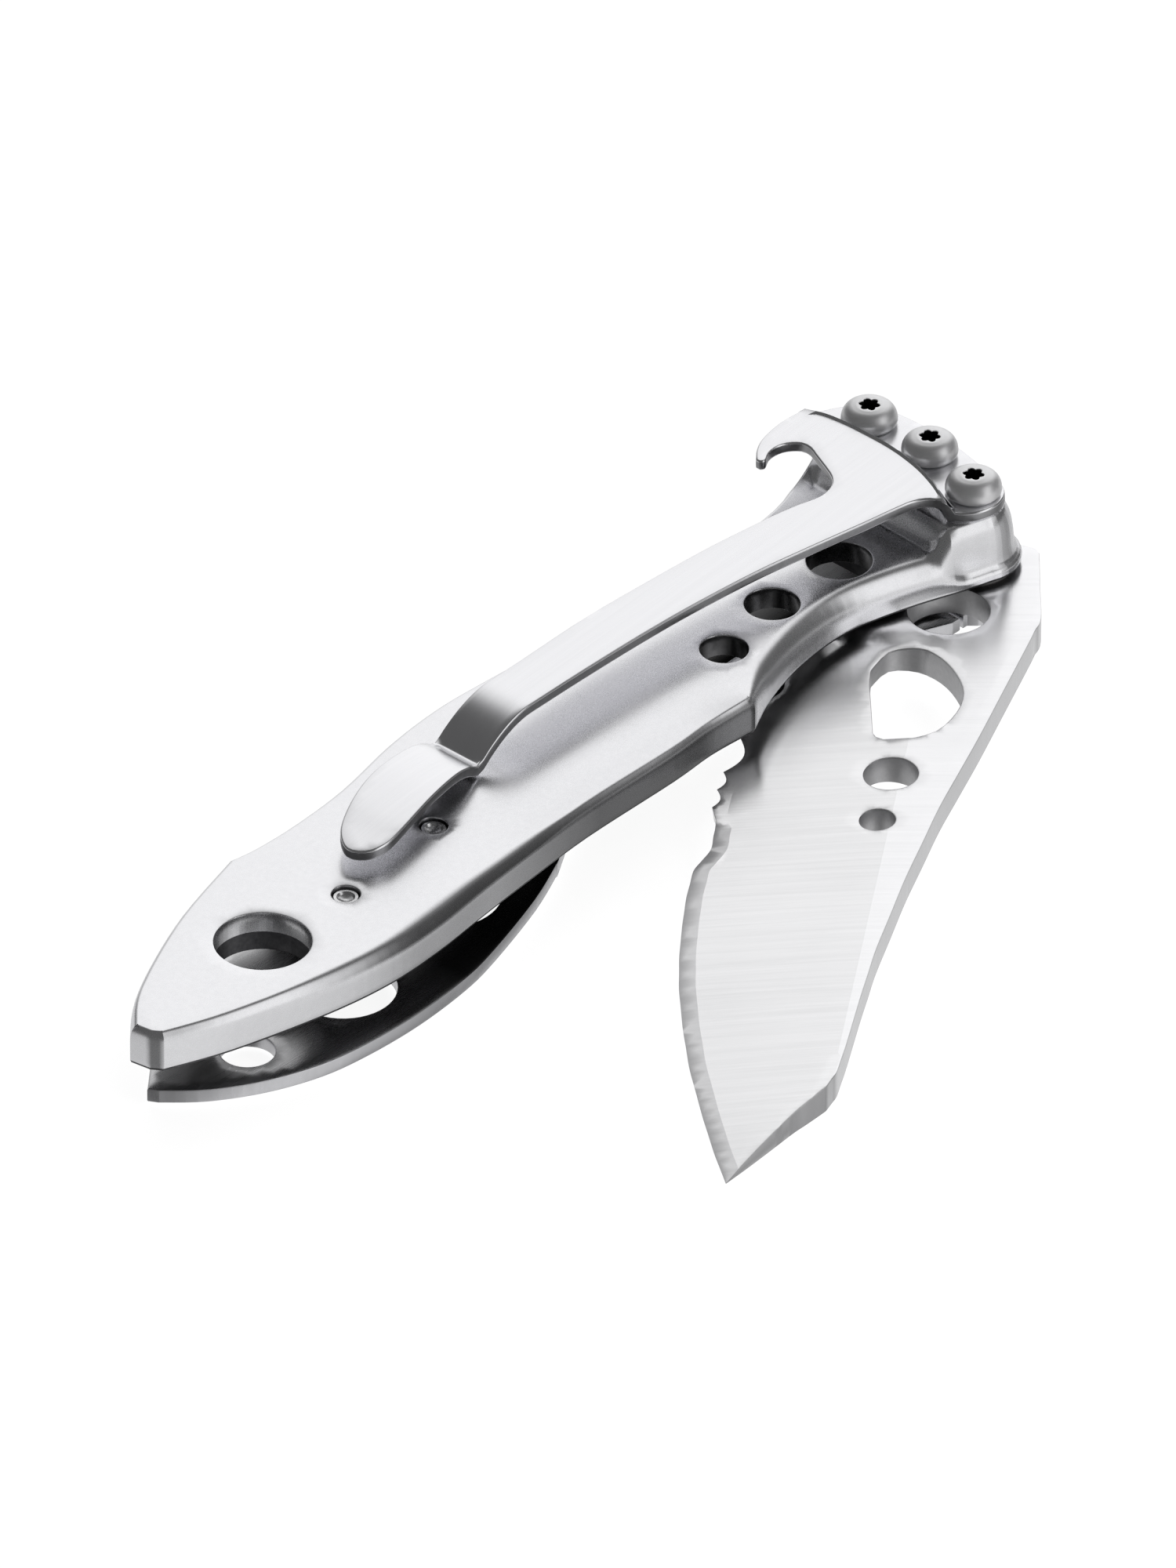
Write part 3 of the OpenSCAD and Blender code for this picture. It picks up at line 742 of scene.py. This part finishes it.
BLADE_LOW, BLADE_HIGH = (c.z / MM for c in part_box("blade"))
BLADE_MID = (BLADE_LOW + BLADE_HIGH) / 2
BLADE_HALF = (BLADE_HIGH - BLADE_LOW) / 2
# On the closed blade, which points along -X with its cutting edge towards +Y
PLUNGE_X, PLUNGE = -9.6, 1.6        # where the grind starts, and over what length
HEEL = (-9.6, 9.1)                  # where the cutting edge starts
SPINE_CORNER = (-62.6, -8.5)        # where the spine turns down to the tip
TEETH_X = -34.6                     # where the serrations end
BEVEL_W = 1.15                      # width of the plain edge's bevel
BEVEL_HALF, EDGE_HALF = 0.26, 0.03  # half the thickness where the bevel starts, and at the very edge
SMALL_HOLE = 25                     # holes of less area than this are drawn a touch tighter


def build_blade():
    outer, *inner_loops = [turn(loop, -OPEN_DEG) for loop in section("blade", BLADE_MID, 0.35, least=1)]
    holes = [hole - normals(hole) * 0.1 * (abs(area(hole)) < SMALL_HOLE) for hole in inner_loops]
    grind = np.array([[PLUNGE_X, 0.1], SPINE_CORNER])
    way = unit(grind[1] - grind[0])
    across = np.array([way[1], -way[0]])    # towards the cutting edge
    start, end = np.argmin(np.linalg.norm(outer - HEEL, axis=1)), np.argmin(outer[:, 0])
    count = (end - start) % len(outer) + 1
    edge = np.take(outer, range(start, start + count), axis=0, mode="wrap")

    plain = edge[edge[:, 0] < TEETH_X]
    x = np.linspace(HEEL[0] - 1, TEETH_X + 0.2, 60)
    teeth = np.column_stack([x, 9.6 - np.where(x < -26, 0.012, 0.004) * (x + 26) ** 2])
    straight = np.concatenate([teeth, plain])   # the edge as if it had no serrations

    def thickness(xy):
        """Half the blade's thickness."""
        s = (xy - grind[0]) @ across
        e_straight = distance(xy, straight, closed=False)
        past = np.clip(e_straight - BEVEL_W, 0, None)
        u = np.clip(s, 0, None) / np.maximum(np.clip(s, 0, None) + past, 1e-6)
        plunge = smooth((PLUNGE_X - xy[:, 0]) / PLUNGE)
        body = BLADE_HALF - (BLADE_HALF - BEVEL_HALF) * u ** 1.12 * plunge
        bevel = EDGE_HALF + (BEVEL_HALF - EDGE_HALF) * np.clip(e_straight / BEVEL_W, 0, 1)
        toothed = 1 - smooth((TEETH_X + 1.1 - xy[:, 0]) / 1.5)
        return np.where(e_straight < BEVEL_W, np.minimum(body, bevel + (BLADE_HALF - bevel) * toothed), body)

    def far_side(xy):
        """The same below the middle, where the serrations are ground in from this side alone."""
        body = thickness(xy)
        serrated = smooth(xy[:, 0] - TEETH_X - 0.6) * smooth((PLUNGE_X - xy[:, 0]) / PLUNGE)
        scallop = 0.06 - body + 0.85 * distance(xy, edge, closed=False)
        return np.where(serrated > 0, np.minimum(body, scallop + (1 - serrated) * 2 * BLADE_HALF), body)

    def share(xy):
        """The rounded rim shrinks where the blade is thin."""
        return np.clip((thickness(xy) + far_side(xy) - 0.1), 0.04, 1)

    def lines(face):
        """Creases where the grind and the bevel begin, and close points by the teeth."""
        t = np.linspace(0, 1, 90)[:, None]
        p = grind[0] + (grind[1] - grind[0]) * t
        ok = distance(p, outer) > 0.35
        for hole in holes:
            ok &= ~inside(p, hole) & (distance(p, hole) > 0.3)
        for stretch in np.split(np.arange(len(p)), np.where(~ok)[0]):
            stretch = [i for i in stretch if ok[i]]
            if len(stretch) > 2:
                face.line(p[stretch], crease=True)
        line = straight + normals_open(straight) * BEVEL_W
        line = line[(line[:, 0] < TEETH_X + 4.1) & (distance(line, outer) > 0.35)]
        face.line(line, crease=True)
        gx, gy = np.meshgrid(np.arange(TEETH_X - 0.4, HEEL[0] + 1, 0.3), np.arange(6.2, 9.8, 0.3))
        dense = np.column_stack([gx.ravel(), gy.ravel()])
        dense = dense[inside(dense, outer)]
        dense = dense[(distance(dense, outer) > 0.26) & (distance(dense, edge, closed=False) < 2.4)]
        dense = dense[nearest(dense, line) > 0.2]
        face.loose(dense)

    def high(xy):
        return BLADE_MID + thickness(xy)

    def low(xy):
        return BLADE_MID - far_side(xy)

    loops = [outer] + holes
    rim = round_rim(0.12, 2)
    up = Face(high, 1, plain_rim(loops, high, 1, rim, share), 0.75)
    down = Face(low, -1, plain_rim(loops, low, -1, rim, share), 0.75)
    lines(up)
    lines(down)
    obj = slab("blade_body", loops, up, down)
    finish_piece(obj, (BLADE_STEEL, GRIND_STEEL, BEVEL_STEEL, HOLE_STEEL), "blade_steel", "blade")
    centres = np.array([p.center for p in obj.data.polygons])[:, :2] / MM
    ground = ((centres - grind[0]) @ across > 0) & (centres[:, 0] < PLUNGE_X - PLUNGE)
    bevelled = (distance(centres, straight, closed=False) < BEVEL_W) & (centres[:, 0] < TEETH_X)
    in_hole = distance(centres, outer) > 0.5
    for p, g, b, h in zip(obj.data.polygons, ground, bevelled, in_hole):
        p.material_index = 3 * int(h) if abs(p.normal.z) < 0.5 else 2 if b else int(g)
    co = np.array([v.co for v in obj.data.vertices])
    co[:, :2] = turn(co[:, :2], OPEN_DEG)
    obj.data.vertices.foreach_set("co", co.ravel())
    obj.data.update()
    obj.modifiers.new("shade", "WEIGHTED_NORMAL").keep_sharp = True
    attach(obj, "blade")


# ---------------------------------------------------------------- clip

CLIP_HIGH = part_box("clip_base")[1].z / MM
CLIP_T = 0.8            # the sheet's thickness
CLIP_FLAT = CLIP_HIGH - CLIP_T / 2          # middle of the sheet along the arm
CLIP_FLANGE = SCALE_HIGH + CLIP_T / 2       # middle of the sheet under the screws
CLIP_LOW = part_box("clip_arm")[0].z / MM + CLIP_T / 2    # middle of the sheet where it touches the scale
BEND_X, CONTACT_X = -40.6, -46.1            # where the arm turns down, and its crease on the scale

# The outline, in stretches that meet at corners: each has its points and the step it is resampled at
HOOK = ([(-1.6, 14.9), (-3.4, 14.95), (-4.9, 14.75), (-6.3, 14.35), (-7.4, 13.7), (-8.1, 13.05)], 0.35)
NOSE = ([(-8.1, 13.05), (-8.1, 12.7), (-7.8, 12.5), (-7.45, 12.65)], 0.2)
THROAT = ([(-7.45, 12.65), (-6.9, 12.95), (-6.1, 13.05), (-5.2, 12.8), (-4.5, 12.1), (-4.45, 11.3),
           (-4.8, 10.5), (-5.2, 9.6), (-5.6, 8.7), (-6.05, 7.85), (-6.7, 7.2), (-7.6, 6.85), (-8.6, 6.8),
           (-10.2, 7.2)], 0.3)
ARM = ([(-10.2, 7.2), (-12.2, 7.55), (-14, 7.75), (-18.6, 8.2), (-25, 8.5), (-31, 8.6), (-38.2, 8.3),
        (-45.6, 8.1), (-50, 7.9), (-53.5, 7.4), (-56.6, 6.3), (-59, 4.9), (-60.2, 3.2), (-59.7, 1.9),
        (-58.4, 1.35), (-56.6, 1.5), (-52, 2.6), (-48, 3.5), (-45.6, 3.9), (-39, 4.15), (-33.8, 4.25),
        (-28.9, 4.25), (-24.2, 4.1), (-18.3, 3.65), (-13.6, 3.0), (-8.8, 2.25), (-6.6, 1.95), (-4.6, 1.6),
        (-3.7, 1.15), (-3.25, 0.6), (-2.95, -0.3), (-2.55, -1.05)], 0.4)
FLANGE = ([(-2.55, -1.05), (-1.9, -1.65), (-1.0, -2.05), (0.2, -2.15), (1.5, -1.6), (2.3, -0.4), (2.8, 1.6),
           (3.5, 4.8), (3.8, 8), (3.6, 11), (2.8, 13), (1, 14.3), (-0.4, 14.8), (-1.6, 14.9)], 0.4)
# Where the sheet steps down from the arm to the flange, and the slit that ends the step
STEP_LINE = ((-1.6, 14.9), (-1.0, 13.4), (-0.75, 11.6), (-0.7, 9.5), (-0.75, 7.6), (-0.95, 5.9), (-1.4, 3.9),
             (-2.1, 2.0), (-2.75, 0.7), (-3.3, -0.3))
STEP_ROWS = (-0.25, -0.06, 0.09, 0.24, 0.39, 0.54, 0.75)
SLIT_AT, SLIT_WAY, SLIT_HALF = (-2.2, 0.55), (-0.36, -0.93), 0.17


def clip_fold():
    """The sheet's middle line: flat, a bend down to the scale, a tight crease, and an arched pad."""
    t = np.linspace(0, 1, 8)
    bend = np.column_stack([BEND_X - 5.1 * t, CLIP_FLAT - (CLIP_FLAT - CLIP_LOW - 0.2) * t ** 1.9])
    pad = ((0, 0.02), (0.5, 0.18), (1.6, 0.75), (3.2, 1.12), (6, 1.28), (9.5, 1.12), (12, 0.85), (14.5, 0.6))
    pad = [(CONTACT_X - along_x, CLIP_LOW + rise) for along_x, rise in pad]
    return spline([(6, CLIP_FLAT), (-30, CLIP_FLAT), (BEND_X + 2, CLIP_FLAT), *bend, *pad], 0.12)


def build_clip():
    outer = np.concatenate([spline(*stretch)[:-1] for stretch in (HOOK, NOSE, THROAT, ARM, FLANGE)])
    step = spline(STEP_LINE, 0.35)
    slit_way = unit(np.array(SLIT_WAY))
    slit = SLIT_AT + slit_way * np.linspace(-0.8, 0.7, 9)[:, None]
    side = np.array([-slit_way[1], slit_way[0]]) * SLIT_HALF
    relief = np.concatenate([slit + side, (slit - side)[::-1]])
    relief = relief if area(relief) < 0 else relief[::-1]
    fold = clip_fold()

    def middle(xy):
        x = xy[:, 0]
        z = np.interp(-x, -fold[:, 0], fold[:, 1])
        signed = side_of(xy, step)
        return z + (CLIP_FLANGE - CLIP_FLAT) * smooth(signed / 0.6 + 0.1)

    def slant(xy):
        """How much thicker the sheet measures straight up where it slopes."""
        e = 0.02
        dx = (middle(xy + [e, 0]) - middle(xy - [e, 0])) / (2 * e)
        return np.minimum(np.sqrt(1 + dx * dx), 2.2)

    def shape(face):
        """Rows of points along the step and across the bends."""
        n = normals_open(step)
        for offset in STEP_ROWS:
            line = step[3:-1] + n[3:-1] * offset
            ok = (distance(line, outer) > 0.3) & inside(line, outer) & (distance(line, relief) > 0.15)
            if ok.sum() > 3:
                face.line(line[ok])
        for x in np.concatenate([np.arange(BEND_X + 0.6, CONTACT_X + 0.6, -0.35),
                                 np.arange(CONTACT_X + 0.6, CONTACT_X - 1.0, -0.16),
                                 np.arange(CONTACT_X - 1.1, CONTACT_X - 6, -0.4)]):
            y = np.arange(2.2, 9, 0.4)
            line = np.column_stack([np.full(len(y), x), y])
            face.loose(line[inside(line, outer) & (distance(line, outer) > 0.33)])

    def high(xy):
        return middle(xy) + slant(xy) * CLIP_T / 2

    def low(xy):
        return middle(xy) - slant(xy) * CLIP_T / 2

    def share(xy):
        """A finer rounding round the slit."""
        return np.where(distance(xy, relief) < 0.05, 0.4, 1.0)

    loops, rim = [outer, relief], round_rim(0.14, 3)
    up = Face(high, 1, plain_rim(loops, high, 1, rim, share), 0.7)
    down = Face(low, -1, plain_rim(loops, low, -1, rim, share), 0.7)
    shape(up)
    shape(down)
    obj = slab("clip_sheet", loops, up, down, sharp_deg=42)
    finish_piece(obj, (CLIP_STEEL, CLIP_EDGE_SHADE), "clip_steel", "clip_base", "clip_arm")
    # upright faces, the sheet's edges, take the painted-shade copy
    for p in obj.data.polygons:
        p.material_index = int(abs(p.normal.z) < 0.25)
    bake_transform(obj)


# ---------------------------------------------------------------- screws, pins and rivets

SEAT_Z = SCALE_HIGH + CLIP_T        # what the screw heads sit on
SHANK_R, PITCH = 1.0, 0.45
CROWN_R, SOCKET_DEPTH = 0.92, 0.9   # where the dome starts, round the socket, and how deep the socket is
PIN_R = 0.95


def build_screw(node):
    lo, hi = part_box(node)
    centre = ((lo.x + hi.x) / 2 / MM, (lo.y + hi.y) / 2 / MM)
    top, r = hi.z / MM, (hi.x - lo.x) / 2 / MM
    h = top - SEAT_Z
    shank_end = lo.z / MM
    profile, lobes = [], []

    def ring(radius, z, lobe=0.0):
        profile.append((radius, z))
        lobes.append(lobe)

    ring(SHANK_R * 0.7, shank_end)
    ring(SHANK_R * 0.85, shank_end + 0.15)
    for i in range(int((SEAT_Z - 0.8 - shank_end) / PITCH)):
        ring(SHANK_R * 0.84, shank_end + 0.25 + i * PITCH)
        ring(SHANK_R, shank_end + 0.25 + (i + 0.5) * PITCH)
    ring(SHANK_R, SEAT_Z)
    for inset, rise in ((0.34, 0), (0.16, 0.1), (0.04, 0.24)):
        ring(r - inset, SEAT_Z + rise)
    for a in np.radians(np.linspace(0, 84, 14)):
        ring(CROWN_R + (r - CROWN_R) * math.cos(a) ** 0.9, SEAT_Z + 0.4 + (h - 0.43) * math.sin(a) ** 0.9)
    ring(CROWN_R + 0.04, top - 0.01)
    ring(CROWN_R - 0.04, top)
    for radius, drop in ((0.78, 0.01), (0.74, 0.06), (0.72, SOCKET_DEPTH)):
        ring(radius, top - drop, 1.0)

    def wobble(a, i):
        """Six broad lobes with narrow ribs between them."""
        return 1 - lobes[i] * 0.26 * (1 - (0.5 + 0.5 * np.cos(6 * a)) ** 0.55)

    obj = lathe(node + "_turned", centre, profile, 96, wobble, sharp_deg=40)
    finish_piece(obj, (SCREW_STEEL, SOCKET_SHADE), "screw_steel", node)
    # faces inside the socket take the painted-shade steel
    for p in obj.data.polygons:
        c = p.center / MM
        within = math.hypot(c.x - centre[0], c.y - centre[1]) < CROWN_R - 0.1
        p.material_index = int(within and SEAT_Z + 0.3 < c.z < top - 0.05)
    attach(obj, "handle")


def build_pins():
    """The sunk fastener ends: a rolled rim round a shallow dish."""
    lo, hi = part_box("spacer_pins")
    r, top = PIN_R, hi.z / MM
    centres = [(lo.x / MM + r, lo.y / MM + r), (hi.x / MM - r, hi.y / MM - r)]
    for i, centre in enumerate(centres):
        profile = [(0.8, lo.z / MM), (0.8, top - 1.5), (r, top - 1.5), (r, top - 0.1), (r - 0.1, top),
                   (r - 0.3, top), (r - 0.42, top - 0.18), (0.25, top - 0.3), (0.1, top - 0.32)]
        obj = lathe(f"spacer_pin_{i + 1}", centre, profile, 64)
        finish_piece(obj, (PIN_STEEL,), "pin_steel", *(["spacer_pins"] if i == 0 else []))
        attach(obj, "handle")


def dress_cad(name, material, bevel=0.08):
    """A CAD node keeps its shape, with a broken edge and a finish."""
    obj = frame["nodes"][name]
    obj.data.materials.clear()
    obj.data.materials.append(material)
    obj.data.shade_smooth()
    weld = obj.modifiers.new("weld", "WELD")
    weld.merge_threshold = 1e-6
    edge = obj.modifiers.new("edge", "BEVEL")
    edge.width = bevel * MM
    edge.segments = 2
    edge.limit_method = "ANGLE"
    edge.angle_limit = math.radians(40)
    edge.harden_normals = True
    obj.modifiers.new("shade", "WEIGHTED_NORMAL").keep_sharp = True


build_scale()
build_plate()
build_blade()
build_clip()
for screw in ("pivot_screw", "clip_screw_short", "clip_screw_long"):
    build_screw(screw)
build_pins()
for node in ("pivot_barrel", "stop_pin", "spacer_bush", "plate_rivets"):
    dress_cad(node, PIN_STEEL)
dress_cad("detent_ball", PIN_STEEL, 0.01)
dress_cad("back_spacer", SPACER_STEEL)
for node in ("washer_upper", "washer_lower"):
    dress_cad(node, WASHER_PLASTIC, 0.04)


# ---------------------------------------------------------------- floor, light and camera

FLOOR_GLOW = 0.88
FLOOR_Z = -0.2 * MM     # just clear of the detent ball, the lowest point
# What the steel sees of the floor, by the way it looks: 0.5 is back at the camera, 0.75 to the right
FLOOR_TONES = ((0.00, 0.80), (0.20, 0.55), (0.31, 0.62), (0.41, 0.16), (0.47, 0.12), (0.53, 0.40),
               (0.61, 0.82), (0.69, 0.72), (0.775, 0.36), (0.82, 0.26), (0.90, 0.62), (1.00, 0.80))
# The soft box beyond: how it fades from left to right, and the angle over which it begins (0.5 is overhead)
BEYOND_TONES = ((0.20, 0.0), (0.30, 0.35), (0.42, 0.90), (0.52, 1.0), (0.70, 1.0), (0.84, 0.0))
BEYOND_START = (0.65, 0.73)
# The upright box: the direction across it (right, away, up), how it fades across, and where it starts
SIDE_BOX = (0.552, 0.785, -0.281)
SIDE_FADE, SIDE_START = (0.14, 0.34), (0.46, 0.58)
ROOM_DARK = 0.10
CAMERA_UP_DEG = 34.75
CAMERA_AIM = Vector((-38.1, 1.1, 3.55)) * MM
FRAME_HEIGHT = 108.108 * MM     # what the picture's height spans at the knife
LENS, SENSOR = 1000, 36         # a long lens, for a nearly parallel view


def view_directions(n, vector):
    """The parts of a direction to the right of the view, away from it, and upwards."""
    a = math.radians(CAMERA_DEG)
    parts = n.add("ShaderNodeSeparateXYZ")
    n.link(vector, parts.inputs[0])
    x, y, z = parts.outputs
    right = n.plus(n.times(x, math.cos(a)), n.times(y, math.sin(a)))
    away = n.plus(n.times(x, -math.sin(a)), n.times(y, math.cos(a)))
    return right, away, z


def tones(n, value, stops):
    """A smooth grey ramp over 0 to 1."""
    ramp = n.add("ShaderNodeValToRGB")
    ramp.color_ramp.interpolation = "EASE"
    elements = ramp.color_ramp.elements
    while len(elements) < len(stops):
        elements.new(0.5)
    for element, (at, level) in zip(elements, stops):
        element.position = at
        element.color = (level, level, level, 1)
    n.link(value, ramp.inputs[0])
    return ramp.outputs[0]


def build_floor():
    """Pale paper. The steel mirrors it as a floor that is dark in places, as in a tented studio."""
    mesh = bpy.data.meshes.new("floor")
    mesh.from_pydata([(-9, -9, 0), (9, -9, 0), (9, 9, 0), (-9, 9, 0)], [], [(0, 1, 2, 3)])
    floor = bpy.data.objects.new("floor", mesh)
    floor.location.z = FLOOR_Z
    bpy.context.scene.collection.objects.link(floor)
    material = bpy.data.materials.new("floor_paper")
    material.use_nodes = True
    material.cycles.emission_sampling = "NONE"
    n = Nodes(material.node_tree)
    out = n.add("ShaderNodeOutputMaterial")
    paper = n.add("ShaderNodeBsdfDiffuse", in_Color=(0.6, 0.6, 0.6, 1))
    glow = n.add("ShaderNodeEmission", in_Strength=FLOOR_GLOW)
    lit = n.add("ShaderNodeAddShader")
    n.link(paper.outputs[0], lit.inputs[0])
    n.link(glow.outputs[0], lit.inputs[1])
    mirrored = n.add("ShaderNodeEmission", in_Strength=1.0)
    right, away, _ = view_directions(n, n.add("ShaderNodeNewGeometry").outputs["Incoming"])
    # The way the mirrored ray travels: 0.5 towards the camera, 0.75 to the right, 0 and 1 away from it
    bearing = n.math("ARCTAN2", n.times(right, -1.0), away)
    around = n.plus(n.math("DIVIDE", bearing, 2 * math.pi), 0.5)
    n.link(tones(n, around, FLOOR_TONES), mirrored.inputs[0])
    pick = n.add("ShaderNodeMixShader")
    n.link(n.add("ShaderNodeLightPath").outputs["Is Glossy Ray"], pick.inputs[0])
    n.link(lit.outputs[0], pick.inputs[1])
    n.link(mirrored.outputs[0], pick.inputs[2])
    one_sided = n.add("ShaderNodeMixShader")     # seen from below, the paper is clear
    n.link(n.add("ShaderNodeNewGeometry").outputs["Backfacing"], one_sided.inputs[0])
    n.link(pick.outputs[0], one_sided.inputs[1])
    n.link(n.add("ShaderNodeBsdfTransparent").outputs[0], one_sided.inputs[2])
    n.link(one_sided.outputs[0], out.inputs[0])
    mesh.materials.append(material)


def build_world():
    """A dark room with a long soft box beyond the knife and an upright one on the right."""
    world = bpy.data.worlds.new("studio")
    bpy.context.scene.world = world
    world.use_nodes = True
    n = Nodes(world.node_tree)
    out = n.add("ShaderNodeOutputWorld")
    room = n.add("ShaderNodeBackground", in_Strength=1.0)
    white = n.add("ShaderNodeBackground", in_Strength=1.0)
    way = n.add("ShaderNodeTexCoord").outputs["Generated"]
    right, away, up = view_directions(n, way)
    # 0 is level on the camera's side, 1 level beyond the knife
    angle = n.math("DIVIDE", n.math("ARCTAN2", up, n.times(away, -1.0)), math.pi)
    sideways = tones(n, n.plus(n.times(right, 0.5), 0.5), BEYOND_TONES)
    beyond = n.times(n.span(angle, *BEYOND_START, 0.0, 1.0), sideways)
    across = n.plus(n.times(right, SIDE_BOX[0]), n.times(away, SIDE_BOX[1]))
    across = n.math("ABSOLUTE", n.plus(across, n.times(up, SIDE_BOX[2])))
    side = n.times(n.span(across, *SIDE_FADE, 1.0, 0.0), n.span(right, *SIDE_START, 0.0, 1.0))
    light = n.plus(n.math("MAXIMUM", beyond, side), ROOM_DARK)
    n.link(light, room.inputs[0])
    pick = n.add("ShaderNodeMixShader")
    n.link(n.add("ShaderNodeLightPath").outputs["Is Camera Ray"], pick.inputs[0])
    n.link(room.outputs[0], pick.inputs[1])
    n.link(white.outputs[0], pick.inputs[2])
    n.link(pick.outputs[0], out.inputs[0])


def build_camera():
    azimuth, elevation = math.radians(CAMERA_DEG), math.radians(CAMERA_UP_DEG)
    level = math.cos(elevation)
    back = Vector((math.sin(azimuth) * level, -math.cos(azimuth) * level, math.sin(elevation)))
    data = bpy.data.cameras.new("camera")
    data.sensor_width = SENSOR
    data.lens = LENS
    camera = bpy.data.objects.new("camera", data)
    camera.location = CAMERA_AIM + back * (FRAME_HEIGHT * LENS / SENSOR)
    camera.rotation_mode = "QUATERNION"
    camera.rotation_quaternion = (-back).to_track_quat("-Z", "Y")
    data.clip_start, data.clip_end = 0.1, 50
    bpy.context.scene.collection.objects.link(camera)
    bpy.context.scene.camera = camera


build_floor()
build_world()
build_camera()
bpy.context.scene.view_settings.view_transform = "Standard"
